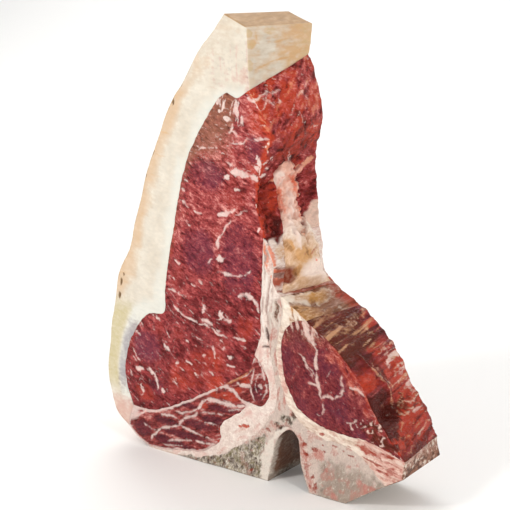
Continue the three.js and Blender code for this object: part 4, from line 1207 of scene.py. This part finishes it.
# white sleeves of the bundles, in the long muscles and in the round one
SLEEVES = [
    (1.5, [(-78, 17), (-70, 21.7), (-62, 23.9), (-56, 26.8)]),
    (1.5, [(-56, 26.8), (-50, 29.4), (-43, 32.8), (-36.7, 36.1)]),
    (1.4, [(-36.7, 36.1), (-30, 40.4), (-23, 43.4), (-17.8, 46.7)]),
    (2.2, [(-17.8, 46.7), (-12.2, 47.8), (-6.7, 46.1), (-2.2, 42.8)]),
    (2.6, [(-2.2, 42.8), (0.6, 41.4), (4, 41)]), (1.8, [(-32.2, 31), (-29.4, 35), (-25.6, 37.8)]),
    (2.8, [(-26, 37.6), (-18.9, 38.6), (-12, 38), (-5.6, 38)]), (2.4, [(-5.6, 38), (0, 39.4), (4, 41)]),
    (1.3, [(-31.6, 31.4), (-37.8, 28.3), (-43.3, 26.2), (-49, 27)]), (0.9, [(-49, 27), (-53, 27.4)]),
    (1.5, [(-32, 30), (-34, 26.8), (-38, 25), (-42.2, 22.8)]),
    (1.4, [(-42.2, 22.8), (-45.2, 20), (-45.6, 18.2)]),
    (1.4, [(-45.4, 18.2), (-49, 16.9), (-54.4, 15.6), (-59, 13.8)]),
    (1.3, [(-59, 13.8), (-62.4, 11), (-65.2, 7.6), (-66, 5)]),
    (1.2, [(-45, 18.4), (-41, 17.8), (-34.4, 16.7), (-27.8, 16.1)]),
    (1.0, [(-27.8, 16.1), (-22, 15.6), (-19, 15.8)]),
    (1.2, [(-54, 7.6), (-47.8, 9.1), (-41.1, 10.6), (-34.4, 11.7)]),
    (1.2, [(-34.4, 11.7), (-27.8, 12.2), (-21, 13)]), (0.8, [(-31, 29.6), (-24, 30.8), (-14, 31.2)]),
    (0.8, [(-12, 34), (-5, 36.2), (1, 37.6)]), (0.7, [(-18.9, 46), (-18.6, 41)]),
    (0.8, [(-28, 24.6), (-22, 25.4), (-17, 24)]), (1.2, [(-60, 22), (-52, 22.8), (-46, 22.2)]),
    (1.0, [(-72, 14), (-66, 12), (-62, 12)]), (0.7, [(-36, 40), (-30, 42.6)]),
    (0.8, [(-58, 4.6), (-50, 5.6), (-42, 7)]),
]
SMALL_SLEEVES = [
    (1.2, [(0, 60), (4, 64), (7.6, 68)]), (1.1, [(6.7, 62), (5, 56), (3.9, 51.7)]),
    (1.1, [(3.9, 51.7), (4.4, 47.8), (7, 43.8)]), (1.1, [(8.4, 67.6), (11.6, 62), (13.6, 56)]),
    (0.9, [(13.6, 56), (14.4, 50), (12, 45.6)]), (2.4, [(-3.4, 50.6), (0.6, 51), (4.2, 51.8)]),
    (2.6, [(9.4, 53), (11.6, 52)]), (0.7, [(8.4, 58), (7.4, 52), (9, 47.6)]),
    (0.7, [(10.4, 60), (8, 55.8)]), (0.7, [(9, 47.6), (12.6, 48.8)]),
    (0.8, [(-3, 55), (2, 57.4), (5, 61)]), (0.8, [(-6, 52), (-2, 50.4)]),
]
# the amber seam between the two, and where the bundles are darker and brighter
AMBER_SEAM = [(1.3, [(-13, 49), (-6, 53), (1, 57.8), (6, 62)])]
DEEP_BUNDLES = [(-42, 13.6, 19, 2.4), (-47, 7, 15, 1.8), (-32, 22, 11, 3), (-22, 27, 8, 3),
                (-72, 11, 7, 5), (-56, 19, 9, 2.4), (-14, 34.4, 12, 1.8), (-40, 32, 8, 2),
                (9, 49, 4, 6), (-58, 8, 7, 3)]
BRIGHT_BUNDLES = [(-10, 42.6, 8, 2.6), (-20, 42, 4, 2), (-28, 34, 4, 2), (-4, 47.6, 3, 2),
                  (-18, 14, 3, 2), (-16, 22, 2, 3), (0, 54, 4, 3)]


def chine_face(x, z, inside, turned):
    spots = face_spots(x, z, turned)
    wx, wz = wandered(x, z, 1.1 if turned else 0.45, 9)
    sleeves = np.maximum(strokes(wx, wz, SLEEVES, 1.6), strokes(wx, wz, SMALL_SLEEVES))
    halo = np.maximum(strokes(wx, wz, SLEEVES, 4.5), strokes(wx, wz, SMALL_SLEEVES, 2.5))
    halo = np.clip(halo - sleeves, 0, 1)
    grain = rough(grained(spots, 20), (4.5, 1.1, 2), 101, 2)
    pinkish = patches(wx, wz, [(-62, 24, 12, 2.4), (-70, 19, 6, 2.4), (-54, 10.6, 12, 1), (-36, 8, 9, 1)])
    deep = patches(wx, wz, DEEP_BUNDLES)
    tail = patches(wx, wz, [(-82, 19, 7, 5)])
    skin = (1 - smooth(inside, 0.6, 1.9)) * smooth(-x, 14, 24)
    amber = strokes(wx, wz, AMBER_SEAM, 1.2)
    return {
        "relief": 0.7 * smooth(inside, 0, 5) + 0.3 * (1 - sleeves) + 0.16 * grain,
        "tone": np.clip(0.47 + 0.2 * grain + 0.2 * pinkish + 0.25 * halo - 0.25 * deep, 0.03, 1),
        "fat": np.maximum(sleeves, 0.4 * smooth(grain, 0.35, 0.9) * (1 - 0.7 * deep)) + 0.85 * tail
            + 0.75 * skin + 0.3 * halo,
        "tan": 0.8 * amber,
        "brown": 0.15,
        "red": 0.8 * patches(wx, wz, BRIGHT_BUNDLES) + 0.5 * halo + 0.5 * amber,
        "violet": 0.65 * deep,
        "dark": 0.5 * smooth(-grain, 0.3, 0.8) * (1 - sleeves),
        "wet": 0.5,
    }


def chine_side(x, z, depth):
    spots = joined(x, depth, z)
    return {
        "tone": 0.4 + 0.3 * rough(spots, (2, 9, 2), 103),
        "fat": 0.65 + 0.4 * rough(spots, 7, 102),
        "brown": 0.3,
        "wet": 0.3,
    }


# Coarser raw beef, its bundles cut on the slant: streaky, and pale where the sleeves lie thin.
chine_meat = muscle(
    "raw_chine_meat", [(0.02, "#430E10"), (0.35, "#722827"), (0.65, "#984441"), (1.0, "#C98E84")],
    fat="#E2CAC2", tan="#C08A5E", brown="#80453A", red="#AC3A26", violet="#5C2430",
    dark="#300B09", grain=0.9, lean=-20, through=3)
chine_muscle = layer("long_chine_muscle", "fat_tail -muscle_rim -chine_under -chine_split -loin_chine",
                     chine_face, chine_side, chine_meat)
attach(chine_muscle, "root")
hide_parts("chine_muscle")
small_chine = layer("round_chine_muscle", "chine_split -small_chine -loin_fork", chine_face, chine_side,
                    chine_meat)
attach(small_chine, "root")
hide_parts("small_chine_muscle")

# Back fat
# The thick firm fat of the steer's back, trimmed with a knife: a band down the left of the steak
# that widens into a solid block at the top. It is tan where it dried at the rind, cream inside
# and a cool white beside the meat, and the saw left faint lines across it.
corner.update({
    "fat_crest": (-13, 245.5, 103),
    "fat_corner": (1.5, 239, 34),
})
draw("fat_side", "fat_corner", [(2, 228)], "loin_top", outer=True)
draw("crest", "fat_crest", [], "fat_corner", outer=True)
draw("fat_rim", "rim",
     [(-94.5, 18.5), (-99, 43), (-94.5, 74), (-90.5, 95), (-79, 121), (-70.5, 149), (-58, 180),
      (-46.5, 202), (-28.5, 227)], "fat_crest", outer=True)
# nicks of the knife along the rind, and faint lines left by the saw
RIND_NICKS = [(-87.5, 95, 0.8, 2.2), (-89, 86.5, 0.9, 2.4), (-62.5, 171, 0.6, 1.6),
              (-67.5, 158, 0.6, 1.8), (-47, 199, 0.6, 2), (-43, 209, 1.2, 0.6), (-72, 148, 0.5, 1.6),
              (-85.5, 100, 0.7, 1.2)]
FAT_LINES = [(0.5, [(-68, 158.5), (-52, 158), (-44, 156)]), (0.6, [(-58, 183), (-44, 180)]),
             (0.8, [(-60, 170), (-52, 169)]), (0.5, [(-47, 201), (-30, 204)]),
             (0.5, [(-88, 84), (-76, 80)]), (0.5, [(-78, 118), (-62, 116)]),
             (0.5, [(-72, 136), (-54, 133)]), (0.6, [(-32, 218), (-20, 220)])]


def back_fat_face(x, z, inside, turned):
    spots = face_spots(x, z, turned)
    wx, wz = wandered(x, z, 0.8, 10)
    meat = np.vstack([line["loin_fat"][0], line["fat_tail"][0]])
    from_rind = distance_to(line["fat_rim"][0], joined(x, z))
    from_meat = distance_to(meat, joined(x, z))
    band = from_rind / (from_rind + from_meat + 0.1)
    mottled = rough(spots, 9, 111)
    soft = rough(spots, (5, 12, 5), 112, 2)
    cross = rough(joined(x, z + 0.05 * x, spots[:, 2]), (22, 1.6, 3), 113, 2)
    saw = rough(joined(x + 0.06 * z, z, spots[:, 2]), (1.1, 26, 3), 114, 2) * smooth(z, 205, 222)
    top = smooth(wz, 203, 216)
    tan = (1 - smooth(band + 0.12 * mottled, 0.12, 0.5)) * (1 - 0.7 * top) * smooth(z, 78, 92)
    cool = smooth(band + 0.1 * soft, 0.66, 0.95) * (1 - top)
    low = 1 - smooth(wz, 76, 92)
    nicks = patches(wx, wz, RIND_NICKS)
    lines = strokes(wx, wz, FAT_LINES)
    return {
        "relief": 0.6 * smooth(inside, 0, 10) + 0.12 * cross + 0.1 * saw + 0.1 * rough(spots, 3, 115)
            - 0.6 * nicks - 0.12 * lines,
        "tone": 0.6 + 0.12 * mottled + 0.1 * soft + 0.1 * saw,
        "tan": 0.75 * tan + 0.25 * lines + 0.12 * smooth(cross, 0.3, 0.8) * (1 - cool)
            + 0.3 * top * smooth(mottled, 0.1, 0.6),
        "cool": 0.25 + 0.6 * cool * (1 - low) + low * smooth(band, 0.5, 0.75),
        "yellow": 0.75 * low * (1 - smooth(band, 0.45, 0.8)) * smooth(z, 22, 40),
        "pink": 0.55 * smooth(wz, 203, 214) * smooth(wx, -30, -10) * (1 - smooth(wz, 226, 238))
            * smooth(saw + mottled, -0.5, 0.4) + 0.8 * (1 - smooth(wz, 20, 34))
            + 0.4 * patches(wx, wz, [(2.5, 206, 4, 4)]),
        "grey": 0.75 * patches(wx, wz, [(-78, 60, 5, 14), (-79, 30, 3, 9)]) * smooth(band, 0.45, 0.8)
            + 0.3 * top * smooth(wx, -24, -4) * (1 - smooth(wz, 222, 232)) * smooth(soft, -0.4, 0.3)
            + 0.45 * patches(wx, wz, [(-88, 36, 3, 9)]),
        "blue": 0.85 * (1 - smooth(wz, 62, 84)) * smooth(wz, 20, 30) * smooth(band, 0.5, 0.8)
            * smooth(soft, -0.9, 0.1),
        "dark": nicks + 0.25 * (1 - smooth(from_rind, 0.2, 1.1)) * (1 - smooth(z, 215, 225)),
    }


def back_fat_side(x, z, depth):
    spots = joined(x, depth, z)
    mottled = rough(spots, (8, 8, 7), 116)
    blotch = rough(spots, (4, 4.5, 4), 117)
    block = smooth(x, -16, -12) * smooth(z, 200, 206)
    # the top face of the block: tan where the rind dried, and darker as painted shade
    crest = block * smooth(z, 238.9, 239.6)
    right = block * (1 - crest)
    rind = 1 - block
    wd, wz = wandered(depth, z, 1.2, 11)
    lines = strokes(wd, wz, [(0.8, [(0, 232), (8, 230.5), (18, 229), (28, 230)]),
                             (0.7, [(6, 231), (5, 238)]),
                             (0.9, [(4, 217), (24, 216), (40, 212)])]) * right
    spot = patches(wd, wz, [(1.5, 236, 2, 2), (2, 231, 3, 2), (1, 220, 2.5, 3), (14, 236, 4, 2)]) * right
    return {
        "tone": 0.55 + 0.2 * mottled + 0.12 * blotch,
        "tan": right * (0.25 + 0.6 * smooth(depth, 12, 34) + 0.35 * blotch + 0.5 * spot) + 0.9 * crest
            + rind * (0.6 + 0.4 * mottled) + 0.4 * lines,
        "cool": 0.2 * right * (1 - smooth(depth, 0, 5)),
        "yellow": right * (0.25 * smooth(depth, 22, 38) + 0.35 * spot) + 0.2 * rind,
        "pink": 0.2 * right * smooth(-mottled, 0.1, 0.6) + 0.5 * rind * (1 - smooth(z, 20, 34)),
        # painted shade: the top face darker, and a dark line in the crease between the block and the loin
        "dark": 0.42 * crest + 0.3 * rind * smooth(rough(spots, (7, 5, 4), 118), 0.1, 0.8)
            + 0.35 * right * strokes(wd, wz, [(0.5, [(4, 209), (16, 208), (40, 208)])]),
    }


# Hard beef fat, sawn and dried: waxy cream with tan and ivory patches, a satin surface.
firm_fat = tissue(
    "firm_back_fat", [(0.1, "#B7A793"), (0.45, "#CDC1B0"), (0.9, "#DAD2C4")],
    [("tan", "#CBA377", 0.4), ("cool", "#D8D7CE", 0.3), ("yellow", "#C4B890", 0.4),
     ("pink", "#CDA598", 0.6), ("grey", "#A0928C", 0.7), ("blue", "#A49EA1", 0.4),
     ("dark", "#6E5436", 0.2)],
    grain=2.2, lean=10, stretch=1.6, spread=0.22, mottle=0.05, gloss=(0.34, 0.55), bump=0.18, film=0.05)
back_fat = layer("firm_back_fat", "-loin_fat -fat_side -crest -fat_rim -fat_tail",
                 back_fat_face, back_fat_side, firm_fat)
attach(back_fat, "root")
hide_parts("back_fat")

# Flank sinew
# A tongue of tendon and soft fat on the steak's right side, left where the flank was pulled away:
# a pale pink cord with an orange edge that forks near its top and spreads into lumps of
# translucent fat above the finger bone.
SINEW_BED = 0.9             # how deep its back lies in the meat
SINEW_COLUMNS = 72
SINEW_ROWS = 130
# where it lies at each height: nearest and farthest depth as shares, and how far it stands out
SINEW = ((178, 0.46, 0.58, 0.8), (172, 0.4, 0.66, 1.6), (166, 0.24, 0.74, 3), (152, 0.37, 0.76, 4),
         (138, 0.37, 0.8, 4.5), (126, 0.26, 0.9, 5), (115, 0.14, 0.96, 5.5), (105, 0.1, 0.96, 5))
# the orange-red edge and the pale ridge of the cord
SINEW_EDGE = [(3.4, [(15.4, 157), (16.4, 151), (17.2, 144)]),
              (2.8, [(21, 163), (28.4, 151), (27, 139), (24.4, 130)])]
SINEW_RIDGE = [(5.5, [(17, 160), (22, 150), (21, 139), (18.5, 124)])]

# the strip of the steak's side that it covers
side_line = np.vstack([line["loin_side"][0], line["seam_side"][0][1:]])
side_ways = np.vstack([line["loin_side"][1], line["seam_side"][1][1:]])
heights = np.array([row[0] for row in SINEW])[::-1]
z = np.linspace(SINEW[-1][0], SINEW[0][0], SINEW_ROWS)
near, far, stand = (np.interp(z, heights, [row[i] for row in SINEW][::-1]) for i in (1, 2, 3))
order = np.argsort(side_line[:, 1])
base_x, way_x, way_z = (np.interp(z, side_line[order, 1], values[order]) for values in
                        (side_line[:, 0], side_ways[:, 0], side_ways[:, 1]))
edge_spots = joined(z, 0 * z, 0 * z)
near = near + 0.025 * rough(edge_spots, 16, 121, 2)
far = far + 0.02 * rough(edge_spots, 14, 122, 2)
across = np.linspace(0, 1, SINEW_COLUMNS)
share = near[:, None] * (1 - across) + far[:, None] * across
grid_x = np.repeat(base_x, SINEW_COLUMNS)
grid_z = np.repeat(z, SINEW_COLUMNS)
grid_share = share.ravel()
grid_depth = THICK * grid_share
spots = joined(grid_x, grid_depth, grid_z)
wd, wz = wandered(grid_depth, grid_z, 1.0, 12)
crown = np.tile(np.sin(math.pi * across) ** 0.55, SINEW_ROWS)
end_fade = np.sqrt(np.clip((SINEW[0][0] - grid_z) / 5, 0, 1)) * smooth(grid_z, 104.5, 108)
# its cords and lumps, and the meat that shows through beside it
cords = rough(joined(grid_depth + 0.15 * grid_z, grid_z, grid_x), (2.4, 26, 9), 123, 2)
# the pocket and the valley are sunk into the sinew: brown and red, with painted shade in them
pocket = patches(wd, wz, [(5, 113, 7.5, 5.6), (10, 112, 4.4, 5)])
lump = patches(wd, wz, [(26, 113, 9, 6), (34, 112, 6, 6)])
amber = patches(wd, wz, [(20, 121, 7, 3.6), (14.6, 114.6, 1.8, 3.4), (13, 127, 2.4, 4)])
valley = strokes(wd, wz, [(1.6, [(20, 121), (28, 121.5), (36, 124)])], 1.4)
knob = patches(wd, wz, [(14, 162.5, 3.6, 4.4)])
branch = strokes(wd, wz, SINEW_BRANCH, 1.4)
trunk = strokes(wd, wz, [(14.5, [(15, 170), (22.5, 153), (21.5, 140), (19, 126), (19, 108)])], 2.0)
height = (np.repeat(stand, SINEW_COLUMNS) * crown + 0.25 * cords + 0.6 * lump
          + 0.5 * rough(spots, 9, 124, 1))
flesh = np.clip(side_flesh(grid_depth, grid_z) * (1 - np.maximum(trunk, np.maximum(branch, knob)))
                * smooth(grid_z, 126, 130) + smooth(grid_z, 170, 172), 0, 1)
height = (height - 2.6 * pocket - 1.0 * valley) * end_fade * (1 - flesh) - 0.6 * smooth(flesh, 0.4, 0.9)
top = side_relief(grid_x, grid_z, grid_share) + np.maximum(height, -0.6)
bed = side_relief(grid_x, grid_z, grid_share) - SINEW_BED
# an outer and an inner shell, closed along their rim
through_x, through_z = carried_through(grid_x, grid_z)
shells = []
for out in (top, bed):
    x_out = grid_x * (1 - grid_share) + through_x * grid_share + out * np.repeat(way_x, SINEW_COLUMNS)
    z_out = grid_z * (1 - grid_share) + through_z * grid_share + out * np.repeat(way_z, SINEW_COLUMNS)
    shells.append(joined(x_out, grid_depth - THICK / 2, z_out))
count = SINEW_ROWS * SINEW_COLUMNS
number = np.arange(count).reshape(SINEW_ROWS, SINEW_COLUMNS)
a, b = number[:-1, :-1].ravel(), number[:-1, 1:].ravel()
d, c = number[1:, :-1].ravel(), number[1:, 1:].ravel()
quads = [joined(a, b, c, d), joined(d, c, b, a) + count]
rim = np.concatenate([number[0, :-1], number[:-1, -1], number[-1, :0:-1], number[:0:-1, 0]])
after = np.roll(rim, -1)
quads.append(joined(after, rim, rim + count, after + count))
ridge = strokes(wd, wz, SINEW_RIDGE, 3)
orange = np.clip(strokes(wd, wz, SINEW_EDGE, 2.4) + 0.3 * cords * smooth(grid_z, 132, 140), 0, 1)
sinew_masks = {
    "tone": 0.6 + 0.16 * cords,
    "white": 0.8 * knob + 0.75 * ridge * smooth(cords, -0.5, 0.3) + 0.6 * lump,
    "pink": 0.65 * smooth(grid_z, 130, 146) + 0.3 * lump * smooth(rough(spots, 3, 125), 0, 0.5),
    "yellow": 0.7 * amber * (0.8 + 0.3 * cords) + 0.55 * (1 - smooth(grid_z, 122, 136)) * (1 - 0.7 * lump),
    "meat": flesh,
    "brown": pocket * (0.8 + 0.35 * cords),
    "red": 0.75 * orange * (1 - 0.6 * knob) + 0.5 * branch * smooth(cords, -0.2, 0.5)
        + patches(wd, wz, [(31, 116.5, 1.2, 1)]) + 0.4 * valley,
    "dark": 0.6 * pocket * smooth(-cords, -0.2, 0.5) + 0.35 * valley
        + 0.4 * amber * smooth(-cords, 0, 0.5),
}
# Tendon and wet soft fat: a pearly pink cord with an orange-red edge, cream and amber lower down,
# glossier than the fat beside it.
pearly_tendon = tissue(
    "pearly_tendon", [(0.1, "#B98D78"), (0.45, "#D8BCA8"), (0.9, "#EADBCD")],
    [("pink", "#EBA893", 0.4), ("yellow", "#C8955F", 0.2), ("white", "#F0DBD0", 0.5),
     ("red", "#D9694A", 0.6), ("meat", "#7A170F", 0), ("brown", "#7E2F1C", 0.15),
     ("dark", "#4A1B12", 0.25)],
    grain=1.1, lean=-80, stretch=2, spread=0.26, mottle=0.1, gloss=(0.18, 0.4), bump=0.25, film=0.15)
both_shells = {mask: [values, values] for mask, values in sinew_masks.items()}
sinew = meshed("side_sinew", shells, quads, both_shells, pearly_tendon)
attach(sinew, "root")
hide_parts("flank_sinew")

# Studio
# White paper under and behind the steak, a large soft light from the upper left and a weaker one
# from the right, as in a plain product photograph. The camera looks at the cut face and the right
# side together: a 90 mm lens on a 36 mm sensor, two thirds of a metre away.
PICTURE = 510                   # width and height of the picture in pixels
AZIMUTH = math.radians(36.5)
PITCH = math.radians(13)
LENS = 90
SENSOR = 36
FOOT_PIXEL = (345, 504)         # where the foot of the vertebra lies in the picture
FOOT_DISTANCE = 653.85          # how far it is from the camera, along the way the camera looks
SHEET_HALF = 3.0                # half the width of the paper, in metres
SHEET_BEND = 1.2                # where it bends up behind the steak, and the radius of the bend
SHEET_RADIUS = 0.8
BEND_STEPS = 16
STEAK_MIDDLE = (0, 0, 0.12)     # what the lights are turned to, in metres

scene = bpy.context.scene
scene.view_settings.view_transform = "Standard"
forward = Vector((-math.sin(AZIMUTH) * math.cos(PITCH), math.cos(AZIMUTH) * math.cos(PITCH),
                  -math.sin(PITCH)))
rightward = Vector((math.cos(AZIMUTH), math.sin(AZIMUTH), 0))
upward = rightward.cross(forward)
focal = LENS / SENSOR * PICTURE
foot = Vector((corner["body_foot"][0], -THICK / 2, corner["body_foot"][1])) * MM
across_foot = (FOOT_PIXEL[0] - PICTURE / 2) / focal
below_foot = (FOOT_PIXEL[1] - PICTURE / 2) / focal
eye = foot - FOOT_DISTANCE * MM * (forward + across_foot * rightward - below_foot * upward)
camera_data = bpy.data.cameras.new("camera")
camera_data.lens = LENS
camera_data.sensor_width = SENSOR
camera_data.clip_start = 0.01
camera = bpy.data.objects.new("camera", camera_data)
camera.matrix_world = Matrix.Translation(eye) @ Matrix((rightward, upward, -forward)).transposed().to_4x4()
scene.collection.objects.link(camera)
scene.camera = camera

profile = [(-SHEET_HALF, 0.0), (SHEET_BEND, 0.0)]
for i in range(1, BEND_STEPS + 1):
    turn = math.pi / 2 * i / BEND_STEPS
    profile.append((SHEET_BEND + SHEET_RADIUS * math.sin(turn), SHEET_RADIUS * (1 - math.cos(turn))))
profile.append((profile[-1][0], SHEET_HALF))
sheet = bpy.data.meshes.new("floor")
sheet.from_pydata([(x, y, z) for y, z in profile for x in (-SHEET_HALF, SHEET_HALF)], [],
                  [(2 * i, 2 * i + 1, 2 * i + 3, 2 * i + 2) for i in range(len(profile) - 1)])
sheet.shade_smooth()
floor = bpy.data.objects.new("floor", sheet)
scene.collection.objects.link(floor)
paper = bpy.data.materials.new("white_studio_paper")
paper.use_nodes = True
paper.node_tree.nodes["Principled BSDF"].inputs["Base Color"].default_value = linear("#F4F3F1")
paper.node_tree.nodes["Principled BSDF"].inputs["Roughness"].default_value = 0.8
sheet.materials.append(paper)


def soft_light(name, place, width, power, colour):
    """A square lamp that faces the steak: place and width are in metres, power is in watts"""
    data = bpy.data.lights.new(name, "AREA")
    data.size = width
    data.energy = power
    data.color = linear(colour)[:3]
    light = bpy.data.objects.new(name, data)
    light.location = place
    light.rotation_euler = (Vector(STEAK_MIDDLE) - Vector(place)).to_track_quat("-Z", "Y").to_euler()
    scene.collection.objects.link(light)


soft_light("key", (-0.35, -1.1, 0.85), 0.2, 7.4, "#FFFBF6")
soft_light("glint", (-0.7, -1.05, 0.2), 0.05, 1.6, "#FFFFFF")
soft_light("side_fill", (1.1, -0.45, 0.6), 0.2, 4.2, "#FFF9F2")
soft_light("rim_light", (0.85, 0.8, 0.45), 0.07, 1.3, "#FFFFFF")
soft_light("top_light", (0.1, 0.1, 1.3), 0.9, 1.2, "#FFFFFF")
soft_light("paper_light", (-1.4, 1.5, 1.9), 1.6, 34, "#FFFFFF")
world = bpy.data.worlds.new("studio")
world.use_nodes = True
world.node_tree.nodes["Background"].inputs["Color"].default_value = linear("#F6F7F8")
world.node_tree.nodes["Background"].inputs["Strength"].default_value = 0.62
scene.world = world
